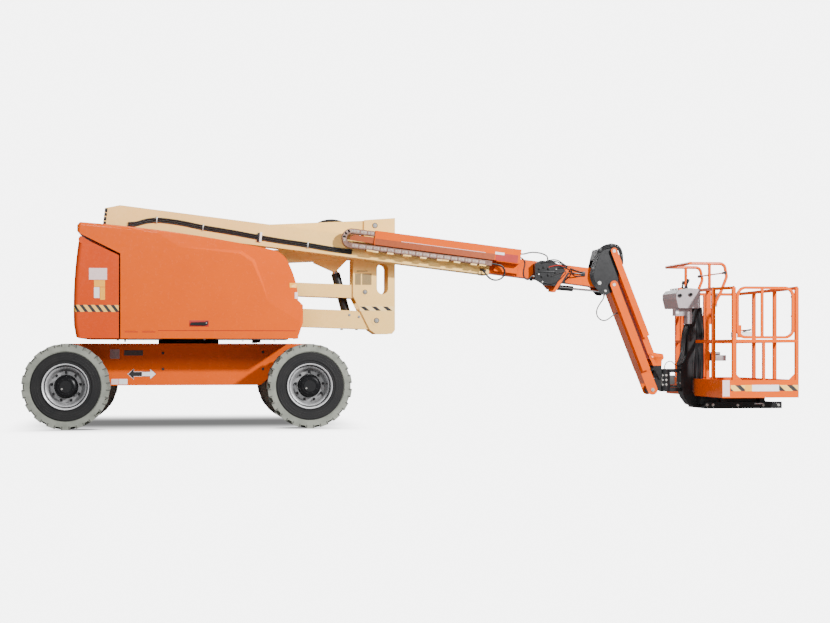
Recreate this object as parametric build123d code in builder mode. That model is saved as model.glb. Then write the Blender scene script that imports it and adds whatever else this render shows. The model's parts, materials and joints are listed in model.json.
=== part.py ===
from build123d import *
from math import atan2, cos, degrees, hypot, pi, radians, sin, tan
import os

# Articulating boom lift: a four-wheel chassis with a slewing turntable, a two-stage riser,
# a telescoping main boom, a jib and a work platform.
# Millimetres. X runs towards the platform, Z up, Y across. The origin is on the floor,
# midway between the axles, on the slewing axis.

os.makedirs("parts", exist_ok=True)

# ---------------------------------------------------------------- clearances and stock
seat_gap = 0.3          # between pieces that bear on each other
pin_gap = 0.3           # radial room round a pivot pin
side_gap = 6.0          # between pieces that pass each other
plate = 12.0            # thickness of pivot plates

# ---------------------------------------------------------------- wheels and axles
wheelbase = 2370.0
tyre_radius = 420.0
tyre_bore = 222.0
tyre_outer_y = 1045.0
tyre_width = 250.0
lug_height = 26.0
lug_count = 18
lug_share = 0.56        # part of the pitch that a lug fills
lug_flank = 0.07        # part of the pitch that each sloping flank takes
lug_root_radius = 345.0
tyre_sides = 36
rim_wall = 14.0
rim_flange = 238.0      # radius of the lip outside the tyre bead
rim_disc_y = 930.0      # outboard face of the wheel disc
rim_disc = 14.0
hub_radius = 104.0
hub_reach = 92.0        # how far the hub cap stands out of the disc
motor_radius = 150.0
kingpin_y = 690.0
kingpin_radius = 22.0
knuckle_half = 75.0     # half height of the knuckle between the yoke plates
axle_half = 75.0        # half height of the axle beams

# ---------------------------------------------------------------- chassis
chassis_top = 843.0
chassis_bottom = 420.0
chassis_half_length = 783.0
chassis_half_width = 500.0
nose_length = 470.0     # narrow end of the chassis over each axle
nose_half_width = 330.0
chassis_skin = 14.0

# ---------------------------------------------------------------- turntable
slew_radius = 312.0
slew_top = 884.0
deck_bottom = slew_top + seat_gap
deck_top = deck_bottom + 26.0
deck_half_width = 1008.0
deck_front = 1035.0
hood_inner_y = 400.0
hood_outer_y = 1030.0
hood_skin = 6.0
hood_grooves = ((-640.0, -520.0), (-470.0, -350.0), (-300.0, 1062.0))
hood_hinge_y = 412.0
hood_hinge = (-700.0, 1960.0)   # a point on the hood hinge line, side view
hood_hinge_angle = -7.7
hood_hinge_xs = (-560.0, 320.0)
hood_hinge_pin = 9.0
body_bottom = 889.0
weight_front = -677.0
weight_notch = -860.0   # front face of the counterweight between the hoods
weight_round = 45.0
weight_joint = 14.0     # open joint between the hoods and the counterweight

# ---------------------------------------------------------------- lanes across the machine
boom_middle_y = -190.0
boom_half_width = 120.0
riser_low_y = -50.0     # near face of the upright's near plate
riser_high_y = 292.0    # far face of the upright's far plate
arm_low_y = riser_low_y + plate + 8.0
arm_high_y = riser_high_y - plate - 8.0

# ---------------------------------------------------------------- riser pivots, side view (x, z)
riser_foot = (-475.0, 1177.0)
riser_link_foot = (-598.0, 1479.0)
upright_low = (1975.0, 1092.0)
upright_high = (1959.0, 2101.0)
tail_high = (-541.0, 1971.0)
arm_vector = (upright_low[0] - riser_foot[0], upright_low[1] - riser_foot[1])
upright_link = (riser_link_foot[0] + arm_vector[0], riser_link_foot[1] + arm_vector[1])
mid_vector = (tail_high[0] - upright_high[0], tail_high[1] - upright_high[1])
mid_link_drop = (-40.0, -260.0)
upright_mid_link = (upright_high[0] + mid_link_drop[0], upright_high[1] + mid_link_drop[1])
tail_low = (tail_high[0] + mid_link_drop[0], tail_high[1] + mid_link_drop[1])
riser_pin = 30.0
link_pin = 24.0
boss_wall = 22.0
arm_wall = 8.0

# ---------------------------------------------------------------- main boom
boom_angle = -6.7
boom_rear = (-853.0, 2158.5)   # centre of the base section's tail
boom_length = 4030.0
boom_half_height = 115.0
boom_wall = 10.0
boom_pivot = (-745.0, 1978.0)
boom_pin = 35.0
fly_half_height = 95.0
fly_half_width = 100.0
fly_wall = 8.0
fly_tail = 380.0               # fly tail behind which the base section is empty
fly_tip = 5180.0
valve_depth = 90.0
lift_foot = (-500.0, 1504.0)
lift_head = (645.0, 1800.0)
lift_pin = 26.0

# ---------------------------------------------------------------- levelling bracket and jib
level_pivot = (4343.0, 1495.0)
level_rod_pin = (4409.0, 1410.0)
level_barrel_foot = (3820.0, 1457.0)
jib_foot = (4497.0, 1477.0)
jib_link_foot = (4497.0, 1837.0)
jib_angle = -68.5
jib_length = 1211.0
jib_half = 55.0
jib_link_half = 35.0
jib_pin = 20.0
rotator_x = 5105.0

# ---------------------------------------------------------------- platform
platform_rear = 5425.0
platform_front = 6255.0
platform_half_width = 915.0
platform_bottom = 284.0
floor_bottom = 294.0
floor_top = 300.0
toe_top = 469.0
rail_top = 1436.0
rail_mid = 871.0
rail_radius = 16.0
platform_low_y = boom_middle_y - platform_half_width
platform_high_y = boom_middle_y + platform_half_width


def along(start, angle, u, w):
    # side-view point that lies u along and w above a line leaving start at an angle
    turn = radians(angle)
    return (start[0] + u * cos(turn) - w * sin(turn), start[1] + u * sin(turn) + w * cos(turn))


def slope(start, end):
    return degrees(atan2(end[1] - start[1], end[0] - start[0]))


def span(start, end):
    return hypot(end[0] - start[0], end[1] - start[1])


def strip(start, angle, u_low, u_high, w_low, w_high):
    # four side-view corners of a straight bar laid along that line
    corners = ((u_low, w_low), (u_high, w_low), (u_high, w_high), (u_low, w_high))
    return [along(start, angle, u, w) for u, w in corners]


def side_solid(points, y_low, y_high, mode=Mode.ADD):
    # flat piece with its outline in side view
    with BuildSketch(Plane.XZ.offset(-y_high)) as outline:
        with BuildLine():
            Polyline(*points, close=True)
        make_face()
    extrude(outline.sketch, amount=y_high - y_low, mode=mode)


def round_bar(centre, radius, y_low, y_high, mode=Mode.ADD):
    # round bar or bore across the machine
    with BuildSketch(Plane.XZ.offset(-y_high)) as outline:
        with Locations(centre):
            Circle(radius)
    extrude(outline.sketch, amount=y_high - y_low, mode=mode)


def block(x_span, y_span, z_span, mode=Mode.ADD):
    spans = (x_span, y_span, z_span)
    with Locations(tuple(sum(pair) / 2 for pair in spans)):
        Box(*[pair[1] - pair[0] for pair in spans], mode=mode)


def tube_run(points, radius, bend):
    # round tube along straight runs joined by tangent arcs
    with BuildLine() as path:
        if len(points) > 2:
            FilletPolyline(*points, radius=bend)
        else:
            Line(*points)
    with BuildSketch(Plane(path.line @ 0, z_dir=path.line % 0)) as section:
        Circle(radius)
    sweep(section.sketch, path=path.line)


def write(piece, name):
    piece.part.label = name
    export_step(piece.part, f"parts/{name}.step")


def hood_line(x):
    # height of the hood hinge line at x
    return hood_hinge[1] + (x - hood_hinge[0]) * tan(radians(hood_hinge_angle))


def hinge_bar(x, side, radius, half, mode=Mode.ADD):
    # round bar on the hood hinge line, centred at x
    turn = radians(hood_hinge_angle)
    plane = Plane((x, side * hood_hinge_y, hood_line(x)), z_dir=(cos(turn), 0, sin(turn)))
    with BuildSketch(plane) as section:
        Circle(radius)
    extrude(section.sketch, amount=half, both=True, mode=mode)


# ================================================================ chassis
with BuildPart() as chassis_frame:
    half = chassis_half_length
    side_solid([(-half - 300, chassis_top), (-half - 300, 800), (-half, chassis_bottom),
                (half - 60, chassis_bottom), (half, 470), (half + 300, 800),
                (half + 300, chassis_top)], -chassis_half_width, chassis_half_width)
    skin = chassis_skin
    side_solid([(-half - 255, chassis_top - skin), (-half + 10, chassis_bottom - skin),
                (half - 90, chassis_bottom - skin), (half - 12, 470), (half + 255, chassis_top - skin)],
               skin - chassis_half_width, chassis_half_width - skin, Mode.SUBTRACT)
    block((-half - 300, half + 300), (-nose_half_width, nose_half_width), (800, chassis_top - 1))
    for end in (-1, 1):
        axle_x = end * wheelbase / 2
        near, far = sorted((end * (half - 40), end * (half + nose_length)))
        seat = chassis_bottom + axle_half + seat_gap
        if end < 0:
            rise = [(near, chassis_top), (near, 720), (axle_x - 110, 560), (axle_x - 110, seat),
                    (axle_x + 110, seat), (far, seat), (far, chassis_top)]
        else:
            rise = [(far, chassis_top), (far, 720), (axle_x + 110, 560), (axle_x + 110, seat),
                    (axle_x - 110, seat), (near, seat), (near, chassis_top)]
        side_solid(rise, -nose_half_width, nose_half_width)
write(chassis_frame, "chassis_frame")

lug_bore = 22.0
lug_thickness = 20.0
lug_half_width = 45.0
lug_top = 790.0
lug_reach = 118.0
lug_bore_reach = 74.0      # from the chassis end to the bore, clear of the axle below
lug_y = 250.0

with BuildPart() as tie_down_lugs:
    for end in (-1, 1):
        for side in (-1, 1):
            root = end * (chassis_half_length + nose_length + seat_gap)
            middle_y = side * lug_y
            y_span = (middle_y - lug_half_width, middle_y + lug_half_width)
            block(sorted((root, root + end * lug_reach)), y_span, (lug_top - lug_thickness, lug_top))
            with BuildSketch(Plane.XY.offset(lug_top)) as bore:
                with Locations((root + end * lug_bore_reach, middle_y)):
                    Circle(lug_bore)
            extrude(bore.sketch, amount=-lug_thickness, mode=Mode.SUBTRACT)
write(tie_down_lugs, "tie_down_lugs")

with BuildPart() as drive_axle:
    axle_x = wheelbase / 2
    z_span = (chassis_bottom - axle_half, chassis_bottom + axle_half)
    block((axle_x - 85, axle_x + 85), (-600, 600), z_span)
    for side in (-1, 1):
        with BuildSketch(Plane.XZ.offset(-side * 600)) as housing:
            with Locations((axle_x, tyre_radius)):
                Circle(motor_radius - 25)
        extrude(housing.sketch, amount=-side * 190)
        with BuildSketch(Plane.XZ.offset(-side * 790)) as motor:
            with Locations((axle_x, tyre_radius)):
                Circle(motor_radius)
        extrude(motor.sketch, amount=-side * (rim_disc_y - rim_disc - seat_gap - 790))
write(drive_axle, "drive_axle")

yoke_top = tyre_radius + knuckle_half + seat_gap
yoke_plate = 25.0

with BuildPart() as steer_axle:
    axle_x = -wheelbase / 2
    z_span = (chassis_bottom - axle_half, chassis_bottom + axle_half)
    block((axle_x - 80, axle_x + 80), (-540, 540), z_span)
    for side in (-1, 1):
        y_span = sorted((side * 540, side * (kingpin_y + 10)))
        for low in (yoke_top, 2 * tyre_radius - yoke_top - yoke_plate):
            block((axle_x - 45, axle_x + 45), y_span, (low, low + yoke_plate))
            with BuildSketch(Plane.XY.offset(low)) as eye:
                with Locations((axle_x, side * kingpin_y)):
                    Circle(48)
            extrude(eye.sketch, amount=yoke_plate)
        inner = sorted((side * 520, side * 590))
        block((axle_x - 45, axle_x + 45), inner,
              (2 * tyre_radius - yoke_top - yoke_plate, yoke_top + yoke_plate))
        with BuildSketch(Plane.XY.offset(tyre_radius - 150)) as bore:
            with Locations((axle_x, side * kingpin_y)):
                Circle(kingpin_radius + pin_gap)
        extrude(bore.sketch, amount=300, mode=Mode.SUBTRACT)
write(steer_axle, "steer_axle")

with BuildPart() as slew_ring:
    with BuildSketch(Plane.XY.offset(chassis_top + seat_gap)) as ring:
        Circle(slew_radius)
        Circle(slew_radius - 90, mode=Mode.SUBTRACT)
    extrude(ring.sketch, amount=slew_top - chassis_top - seat_gap)
write(slew_ring, "slew_ring")

# ---------------------------------------------------------------- steering knuckles and wheels
for side, side_name in ((-1, "right"), (1, "left")):
    with BuildPart() as knuckle:
        axle_x = -wheelbase / 2
        with BuildSketch(Plane.XY.offset(tyre_radius - knuckle_half)) as post:
            with Locations((axle_x, side * kingpin_y)):
                Circle(46)
        extrude(post.sketch, amount=2 * knuckle_half)
        with BuildSketch(Plane.XY.offset(2 * tyre_radius - yoke_top - yoke_plate - 6)) as kingpin:
            with Locations((axle_x, side * kingpin_y)):
                Circle(kingpin_radius)
        extrude(kingpin.sketch, amount=2 * (yoke_top + yoke_plate + 6 - tyre_radius))
        with BuildSketch(Plane.XZ.offset(-side * kingpin_y)) as stub:
            with Locations((axle_x, tyre_radius)):
                Circle(60)
        extrude(stub.sketch, amount=-side * (rim_disc_y - rim_disc - seat_gap - kingpin_y))
        with BuildSketch(Plane.XZ.offset(-side * 800)) as drum:
            with Locations((axle_x, tyre_radius)):
                Circle(motor_radius - 10)
        extrude(drum.sketch, amount=-side * 70)
    write(knuckle, f"knuckle_{side_name}")


def wheel_profile(points, axle_x, side, mode=Mode.ADD):
    # ring turned about the axle from (distance across, radius) points on the wheel's own side
    plane = Plane((axle_x, 0, tyre_radius), x_dir=(0, side, 0), z_dir=(side, 0, 0))
    with BuildSketch(plane) as profile:
        with BuildLine():
            Polyline(*points, close=True)
        make_face()
    revolve(profile.sketch, axis=Axis((axle_x, 0, tyre_radius), (0, 1, 0)), mode=mode)


def lug_ring(axle_x, y_low, y_high, phase):
    # toothed ring of tread blocks, phase in parts of a pitch
    pitch = 360.0 / lug_count
    corners = []
    for step in range(lug_count):
        for part, radius in ((0, tyre_radius - lug_height), (lug_flank, tyre_radius),
                             (lug_flank + lug_share, tyre_radius),
                             (2 * lug_flank + lug_share, tyre_radius - lug_height)):
            turn = radians((step + phase + part) * pitch)
            corners.append((axle_x + radius * sin(turn), tyre_radius - radius * cos(turn)))
    with BuildSketch(Plane.XZ.offset(-y_high)) as ring:
        with BuildLine():
            Polyline(*corners, close=True)
        make_face()
        with Locations((axle_x, tyre_radius)):
            Circle(lug_root_radius, mode=Mode.SUBTRACT)
    extrude(ring.sketch, amount=y_high - y_low)


def sided_ring(axle_x, side, y_inner, y_outer, outer_radius, inner_radius, flank=0.0):
    # many-sided ring; flank is the slope of its outer end in degrees
    plane = Plane((axle_x, side * y_inner, tyre_radius), x_dir=(1, 0, 0), z_dir=(0, side, 0))
    with BuildSketch(plane) as ring:
        RegularPolygon(outer_radius, tyre_sides)
        RegularPolygon(inner_radius, tyre_sides, major_radius=False, mode=Mode.SUBTRACT)
    extrude(ring.sketch, amount=y_outer - y_inner, taper=flank)


def lay_tyre(axle_x, side):
    inner = tyre_outer_y - tyre_width
    middle = tyre_outer_y - tyre_width / 2
    bead = tyre_bore + seat_gap
    wall = tyre_outer_y - 8
    sided_ring(axle_x, side, inner + 8, wall, tyre_radius - lug_height, bead)
    sided_ring(axle_x, side, wall - 1, tyre_outer_y - 2, lug_root_radius - 14, rim_flange + 12, 30)
    sided_ring(axle_x, side, inner + 9, inner + 2, lug_root_radius - 14, rim_flange + 12, 30)
    for reach, phase in ((tyre_outer_y, 0.0), (inner, 0.5)):
        y_low, y_high = sorted((side * middle, side * reach))
        lug_ring(axle_x, y_low, y_high, phase - lug_flank - lug_share / 2)


def lay_rim(axle_x, side):
    inner = tyre_outer_y - tyre_width + 4
    lip = tyre_outer_y - 2
    bead = tyre_outer_y - 8 + seat_gap
    bed = tyre_bore - rim_wall
    disc_back = rim_disc_y - rim_disc
    cap = rim_disc_y + hub_reach
    wheel_profile([(inner, tyre_bore), (inner, bed), (disc_back, bed - 20), (disc_back, 0), (cap, 0),
                   (cap, hub_radius - 22), (cap - 8, hub_radius - 8), (cap - 22, hub_radius),
                   (rim_disc_y, hub_radius), (rim_disc_y, bed - 58), (rim_disc_y + 12, bed - 44),
                   (rim_disc_y + 52, bed - 32), (rim_disc_y + 58, bed - 24), (rim_disc_y + 52, bed - 14),
                   (rim_disc_y + 30, bed), (lip - 6, bed + 4), (lip, bed + 12), (lip, rim_flange - 5),
                   (lip - 4, rim_flange), (bead, rim_flange), (bead, tyre_bore)], axle_x, side)


wheel_places = (
    # name, axle x, side
    ("steer_right", -wheelbase / 2, -1),
    ("steer_left", -wheelbase / 2, 1),
    ("drive_right", wheelbase / 2, -1),
    ("drive_left", wheelbase / 2, 1),
)
for wheel_name, axle_x, side in wheel_places:
    with BuildPart() as tyre:
        lay_tyre(axle_x, side)
    write(tyre, f"tyre_{wheel_name}")
    with BuildPart() as rim:
        lay_rim(axle_x, side)
    write(rim, f"rim_{wheel_name}")

# ================================================================ turntable
pedestal_near = arm_low_y - 8 - 18
pedestal_far = arm_high_y + 8

with BuildPart() as turntable_frame:
    with BuildSketch(Plane.XY.offset(deck_bottom)) as race:
        Circle(slew_radius - 20)
        Circle(slew_radius - 110, mode=Mode.SUBTRACT)
    extrude(race.sketch, amount=deck_top - deck_bottom)
    block((weight_front + 40, deck_front), (-deck_half_width, deck_half_width), (deck_top - 14, deck_top))
    for y_low in (-hood_inner_y + 20, hood_inner_y - 32):
        side_solid([(weight_notch + seat_gap, deck_top - 5), (deck_front - 60, deck_top - 5),
                    (deck_front - 60, 980), (300, 1060), (weight_notch + seat_gap, 1200)],
                   y_low, y_low + plate)
    for y_low in (pedestal_near, pedestal_far):
        side_solid([(-760, deck_top - 5), (-300, deck_top - 5), (-400, 1240), (-540, 1535), (-660, 1535),
                    (-760, 1400)], y_low, y_low + 18)
    block((-760, -748), (pedestal_near, pedestal_far + 18), (deck_top - 5, 1300))
    round_bar(riser_foot, riser_pin, pedestal_near, pedestal_far + 18)
    round_bar(riser_link_foot, link_pin, pedestal_near, pedestal_far + 18)
    for side in (-1, 1):
        for x in hood_hinge_xs:
            axis_z = hood_line(x)
            y_span = sorted((side * (hood_inner_y - 32), side * (hood_inner_y - 14)))
            block((x - 20, x + 20), y_span, (deck_top - 5, axis_z - 46))
            with BuildSketch(Plane.YZ.offset(x - 20)) as arm_shape:
                with Locations((side * hood_hinge_y, axis_z)):
                    Circle(16)
                arm_y = side * (hood_inner_y - 20)
                with Locations((arm_y, axis_z - 62), (arm_y, axis_z - 100)):
                    Circle(11)
                make_hull()
            extrude(arm_shape.sketch, amount=40)
            hinge_bar(x, side, hood_hinge_pin, 62)
write(turntable_frame, "turntable_frame")

with BuildPart() as counterweight:
    with BuildSketch(Plane.XZ.offset(-hood_outer_y)) as outline:
        with BuildLine():
            Line((weight_front, 891), (weight_front, 1700))
            Line((weight_front, 1700), (-949, 1830))
            Line((-949, 1830), (-1040, 1886))
            ThreePointArc((-1040, 1886), (-1058, 1868), (-1062, 1845))
            ThreePointArc((-1062, 1845), (-1106, 1400), (-1108, 1020))
            Line((-1108, 1020), (-1087, 905))
            Line((-1087, 905), (-1060, 891))
            Line((-1060, 891), (weight_front, 891))
        make_face()
    extrude(outline.sketch, amount=2 * hood_outer_y)
    sides = [edge for edge in counterweight.part.edges() if abs(abs(edge.center().Y) - hood_outer_y) < 0.1]
    fillet([edge for edge in sides if edge.center().X < -1050 and 950 < edge.center().Z < 1800], weight_round)
    slot_half = hood_inner_y - 10
    block((weight_notch, weight_front + 1), (-slot_half, slot_half), (880, 1900), Mode.SUBTRACT)
    block((-1200, -800), (-slot_half, slot_half), (1830, 1900), Mode.SUBTRACT)
write(counterweight, "counterweight")

with BuildPart() as battery_pack:
    for side in (-1, 1):
        y_span = sorted((side * 430, side * 930))
        block((-420, 620), y_span, (deck_top + seat_gap, 1380))
write(battery_pack, "battery_pack")

crease = ((-89.0, 1787.0), (497.0, 1724.0), (614.0, 1647.0), (713.0, 1420.0), (772.0, 1252.0))
crease_slope = 0.085    # how fast the upper front of the hood side falls away beyond the crease
crease_flank = 55.0
hood_round = 34.0       # outside radius along the edge between the hood's side and its top


def hood_body(side, inset):
    # closed body inside the hood's outline; inset moves every outer face inwards
    low = body_bottom - (40 if inset else 0)
    back = weight_front + weight_joint + inset
    y_from = side * (hood_inner_y - (10 if inset else 0))
    y_to = side * (hood_outer_y - inset)
    with BuildPart() as body:
        with BuildSketch(Plane.XZ.offset(-max(y_from, y_to))) as outline:
            with BuildLine():
                Line((back, low), (1069 - inset, low))
                Line((1069 - inset, low), (1069 - inset, 906))
                Line((1069 - inset, 906), (1119 - inset, 1055))
                Line((1119 - inset, 1055), (1119 - inset, 1224))
                Line((1119 - inset, 1224), (1069 - inset, 1273))
                ThreePointArc((1069 - inset, 1273), (1044 - inset, 1460), (985 - inset, 1620))
                ThreePointArc((985 - inset, 1620), (925 - inset, 1715 - inset / 2),
                              (820 - inset, 1770 - inset))
                ThreePointArc((820 - inset, 1770 - inset), (-80, 1924 - inset), (-1049 + inset, 2022 - inset))
                Line((-1049 + inset, 2022 - inset), (-1077 + inset, 1991 - inset))
                Line((-1077 + inset, 1991 - inset), (-1077 + inset, 1933 + inset / 2))
                Line((-1077 + inset, 1933 + inset / 2), (-1040, 1904 + inset))
                Line((-1040, 1904 + inset), (back, 1717 + inset))
                Line((back, 1717 + inset), (back, low))
            make_face()
        extrude(outline.sketch, amount=abs(y_to - y_from))
        side_edges = [edge for edge in body.part.edges() if abs(edge.center().Y - y_to) < 0.1]
        under_visor = [edge for edge in side_edges if edge.center().X < back + 30 and edge.center().Z < 1925]
        rim = [edge for edge in side_edges if edge.center().Z > 1000 and edge not in under_visor]
        fillet(rim, hood_round - inset)
    return body.part


def crease_wedge(side, inset):
    # what the upper front of the hood side loses beyond its crease, fading to nothing at both ends
    y_face = side * (hood_outer_y - inset)
    first, last = crease[0], crease[-1]
    run = span(first, last)
    lean_x = -crease_slope * (last[1] - first[1]) / run
    lean_z = crease_slope * (last[0] - first[0]) / run
    with BuildSketch(Plane.XZ.offset(-y_face)) as region:
        with BuildLine():
            Polyline(*crease, (1700, 676), (1900, 2600), (-1376, 2587), close=True)
        make_face()
    with BuildPart() as wedge:
        extrude(region.sketch, amount=side * 70, taper=crease_flank)
        lean = Plane((first[0], y_face, first[1]), z_dir=(lean_x, side, lean_z))
        split(bisect_by=lean, keep=Keep.TOP)
    return wedge.part


hood_names = ((-1, "right"), (1, "left"))
for side, side_name in hood_names:
    outer_shape = hood_body(side, 0) - crease_wedge(side, 0)
    inner_shape = hood_body(side, hood_skin) - crease_wedge(side, hood_skin)
    with BuildPart() as hood:
        add(outer_shape)
        add(inner_shape, mode=Mode.SUBTRACT)
        groove = sorted((side * (hood_outer_y - 3), side * (hood_outer_y + 1)))
        for x_span in hood_grooves:
            block(x_span, groove, (961, 967), Mode.SUBTRACT)
        for x in hood_hinge_xs:
            for low in (x - 56, x + 24):
                with BuildSketch(Plane.YZ.offset(low)) as knuckle_shape:
                    with Locations((side * hood_hinge_y, hood_line(x))):
                        Circle(15)
                    with Locations((side * (hood_hinge_y - 4), hood_line(x) + 22),
                                   (side * (hood_hinge_y + 16), hood_line(x) + 22)):
                        Circle(5)
                    make_hull()
                extrude(knuckle_shape.sketch, amount=32)
            hinge_bar(x, side, hood_hinge_pin + pin_gap, 70, Mode.SUBTRACT)
    write(hood, f"hood_{side_name}")

# ================================================================ riser
cylinder_y = (arm_low_y + arm_high_y) / 2


def hull_plate(rounds, y_low, y_high, mode=Mode.ADD):
    # plate with its outline drawn tight round circles given as (x, z, radius)
    with BuildSketch(Plane.XZ.offset(-y_high)) as outline:
        for x, z, radius in rounds:
            with Locations((x, z)):
                Circle(radius)
        make_hull()
    extrude(outline.sketch, amount=y_high - y_low, mode=mode)


def box_arm(start, end, above, below, pin):
    # box-section arm between two pivots, with a bored boss at each
    angle = slope(start, end)
    reach = span(start, end)
    side_solid(strip(start, angle, 0, reach, -below, above), arm_low_y, arm_high_y)
    side_solid(strip(start, angle, -1, reach + 1, arm_wall - below, above - arm_wall),
               arm_low_y + arm_wall, arm_high_y - arm_wall, Mode.SUBTRACT)
    for pivot in (start, end):
        round_bar(pivot, pin + boss_wall, arm_low_y, arm_high_y)
    for pivot in (start, end):
        round_bar(pivot, pin + pin_gap, arm_low_y - 1, arm_high_y + 1, Mode.SUBTRACT)


riser_cylinder_foot = (1680.0, 1130.0)
riser_cylinder_head = (1538.0, 1657.0)
riser_barrel_radius = 48.0
riser_stage_radius = 38.0
riser_rod_radius = 28.0
riser_eye_half = 38.0
cylinder_room = riser_barrel_radius + 12.0

with BuildPart() as lower_boom:
    box_arm(riser_foot, upright_low, 96, 96, riser_pin)
    angle = slope(riser_foot, upright_low)
    side_solid(strip(riser_cylinder_foot, angle, -75, 215, 40, 90),
               cylinder_y - cylinder_room, cylinder_y + cylinder_room, Mode.SUBTRACT)
    round_bar(riser_cylinder_foot, 20, arm_low_y, arm_high_y)
write(lower_boom, "lower_boom")

with BuildPart() as lower_link:
    box_arm(riser_link_foot, upright_link, 72, 68, link_pin)
    angle = slope(upright_link, riser_link_foot)
    side_solid(strip(upright_link, angle, -link_pin - boss_wall - 1, 450, -80, 80),
               cylinder_y - cylinder_room, cylinder_y + cylinder_room, Mode.SUBTRACT)
write(lower_link, "lower_link")

slot_x = 2040.0
slot_half = 59.0
slot_low = 1433.0
slot_high = 1641.0
upright_back = 2174.0

with BuildPart() as front_upright:
    for y_low in (riser_low_y, riser_high_y - plate):
        side_solid([(1724, 1754), (1724, 1351), (1906, 991), (1970, 948), (2142, 949), (upright_back, 991),
                    (upright_back, 2184), (1842, 2158), (1842, 1754)], y_low, y_low + plate)
        hull_plate([(slot_x, slot_low, slot_half), (slot_x, slot_high, slot_half)],
                   y_low - 1, y_low + plate + 1, Mode.SUBTRACT)
    block((upright_back - 24, upright_back - 12), (riser_low_y + 1, riser_high_y - 1), (1000, 2150))
    for pivot, pin in ((upright_low, riser_pin), (upright_high, riser_pin),
                       (upright_link, link_pin), (upright_mid_link, link_pin)):
        round_bar(pivot, pin, riser_low_y - 4, riser_high_y + 4)
write(front_upright, "front_upright")

mid_top = 57.0
with BuildPart() as mid_boom:
    box_arm(tail_high, upright_high, mid_top, 75, riser_pin)
write(mid_boom, "mid_boom")

rest_foot = 1345.0
rest_reach = 300.0
mid_slope = slope(tail_high, upright_high)
with BuildPart() as boom_rest:
    u_low = (rest_foot - tail_high[0]) / cos(radians(mid_slope))
    ends = [along(tail_high, mid_slope, u, mid_top + seat_gap) for u in (u_low, u_low + rest_reach)]
    crown = along(tail_high, mid_slope, u_low + rest_reach / 2, mid_top + 38)
    with BuildSketch(Plane.XZ.offset(-cylinder_y - 60)) as outline:
        with BuildLine():
            ThreePointArc(ends[0], crown, ends[1])
            Line(ends[1], ends[0])
        make_face()
    extrude(outline.sketch, amount=120)
write(boom_rest, "boom_rest")

head_ear = 12.0
head_ear_y = riser_eye_half + side_gap

with BuildPart() as mid_link:
    box_arm(tail_low, upright_mid_link, 45, 85, link_pin)
    for y_low in (cylinder_y - head_ear_y - head_ear, cylinder_y + head_ear_y):
        hull_plate([(riser_cylinder_head[0], riser_cylinder_head[1], 42), (1330, 1715, 12), (1660, 1740, 12)],
                   y_low, y_low + head_ear)
        hull_plate([(riser_cylinder_head[0], riser_cylinder_head[1], 24)], y_low - 3, y_low + head_ear + 3)
write(mid_link, "mid_link")

ear_radius = 44.0
lift_ears = ((-272.0, -256.0), (-124.0, -108.0))

with BuildPart() as rear_upright:
    for y_low in (riser_low_y, riser_high_y - plate):
        side_solid([(-700, 1645), (-540, 1645), (-490, 1700), (-478, 2010), (-520, 2030), (-700, 2030)],
                   y_low, y_low + plate)
    block((-702, -690), (riser_low_y, riser_high_y), (1645, 2010))
    for y_low, y_high in lift_ears:
        hull_plate([(boom_pivot[0], boom_pivot[1], ear_radius), (-590, 1800, 62),
                    (lift_foot[0], lift_foot[1], ear_radius)], y_low, y_high)
    block((-640, -540), (lift_ears[0][0] + 1, riser_low_y + 1), (1760, 1840))
    for pivot, pin in ((tail_high, riser_pin), (tail_low, link_pin)):
        round_bar(pivot, pin, riser_low_y - 4, riser_high_y + 4)
    for pivot, pin in ((boom_pivot, boom_pin), (lift_foot, lift_pin)):
        round_bar(pivot, pin, lift_ears[0][0] - 4, lift_ears[1][1] + 4)
write(rear_upright, "rear_upright")


def turned(foot, angle, y_middle, points, mode=Mode.ADD):
    # solid turned about a line that leaves foot in side view, from (distance along, radius) points
    turn = radians(angle)
    plane = Plane((foot[0], y_middle, foot[1]), x_dir=(cos(turn), 0, sin(turn)), z_dir=(0, -1, 0))
    with BuildSketch(plane) as profile:
        with BuildLine():
            Polyline(*points, close=True)
        make_face()
    revolve(profile.sketch, axis=Axis(plane.origin, plane.x_dir), mode=mode)


riser_closed = span(riser_cylinder_foot, riser_cylinder_head)
riser_tilt = slope(riser_cylinder_foot, riser_cylinder_head)
riser_barrel_end = riser_closed - 62.0

with BuildPart() as riser_barrel:
    bore = riser_stage_radius + seat_gap
    turned(riser_cylinder_foot, riser_tilt, cylinder_y,
           [(10, 0), (10, riser_barrel_radius), (riser_barrel_end, riser_barrel_radius),
            (riser_barrel_end, bore), (50, bore), (50, 0)])
    round_bar(riser_cylinder_foot, 42, cylinder_y - riser_eye_half, cylinder_y + riser_eye_half)
    round_bar(riser_cylinder_foot, 20 + pin_gap, cylinder_y - 60, cylinder_y + 60, Mode.SUBTRACT)
write(riser_barrel, "riser_cylinder_barrel")

with BuildPart() as riser_stage:
    bore = riser_rod_radius + seat_gap
    turned(riser_cylinder_foot, riser_tilt, cylinder_y,
           [(51, 0), (51, riser_stage_radius), (riser_barrel_end + 10, riser_stage_radius),
            (riser_barrel_end + 10, bore), (65, bore), (65, 0)])
write(riser_stage, "riser_cylinder_stage")

with BuildPart() as riser_rod:
    turned(riser_cylinder_foot, riser_tilt, cylinder_y,
           [(66, 0), (66, riser_rod_radius), (riser_closed - 10, riser_rod_radius), (riser_closed - 10, 0)])
    round_bar(riser_cylinder_head, 36, cylinder_y - riser_eye_half, cylinder_y + riser_eye_half)
write(riser_rod, "riser_cylinder_rod")

# ================================================================ main boom
boom_low_y = boom_middle_y - boom_half_width
boom_high_y = boom_middle_y + boom_half_width
lug_wall = 16.0
lug_inner_y = 44.0
lug_outer_y = lug_inner_y + lug_wall


def boom_at(u, w):
    return along(boom_rear, boom_angle, u, w)


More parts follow.
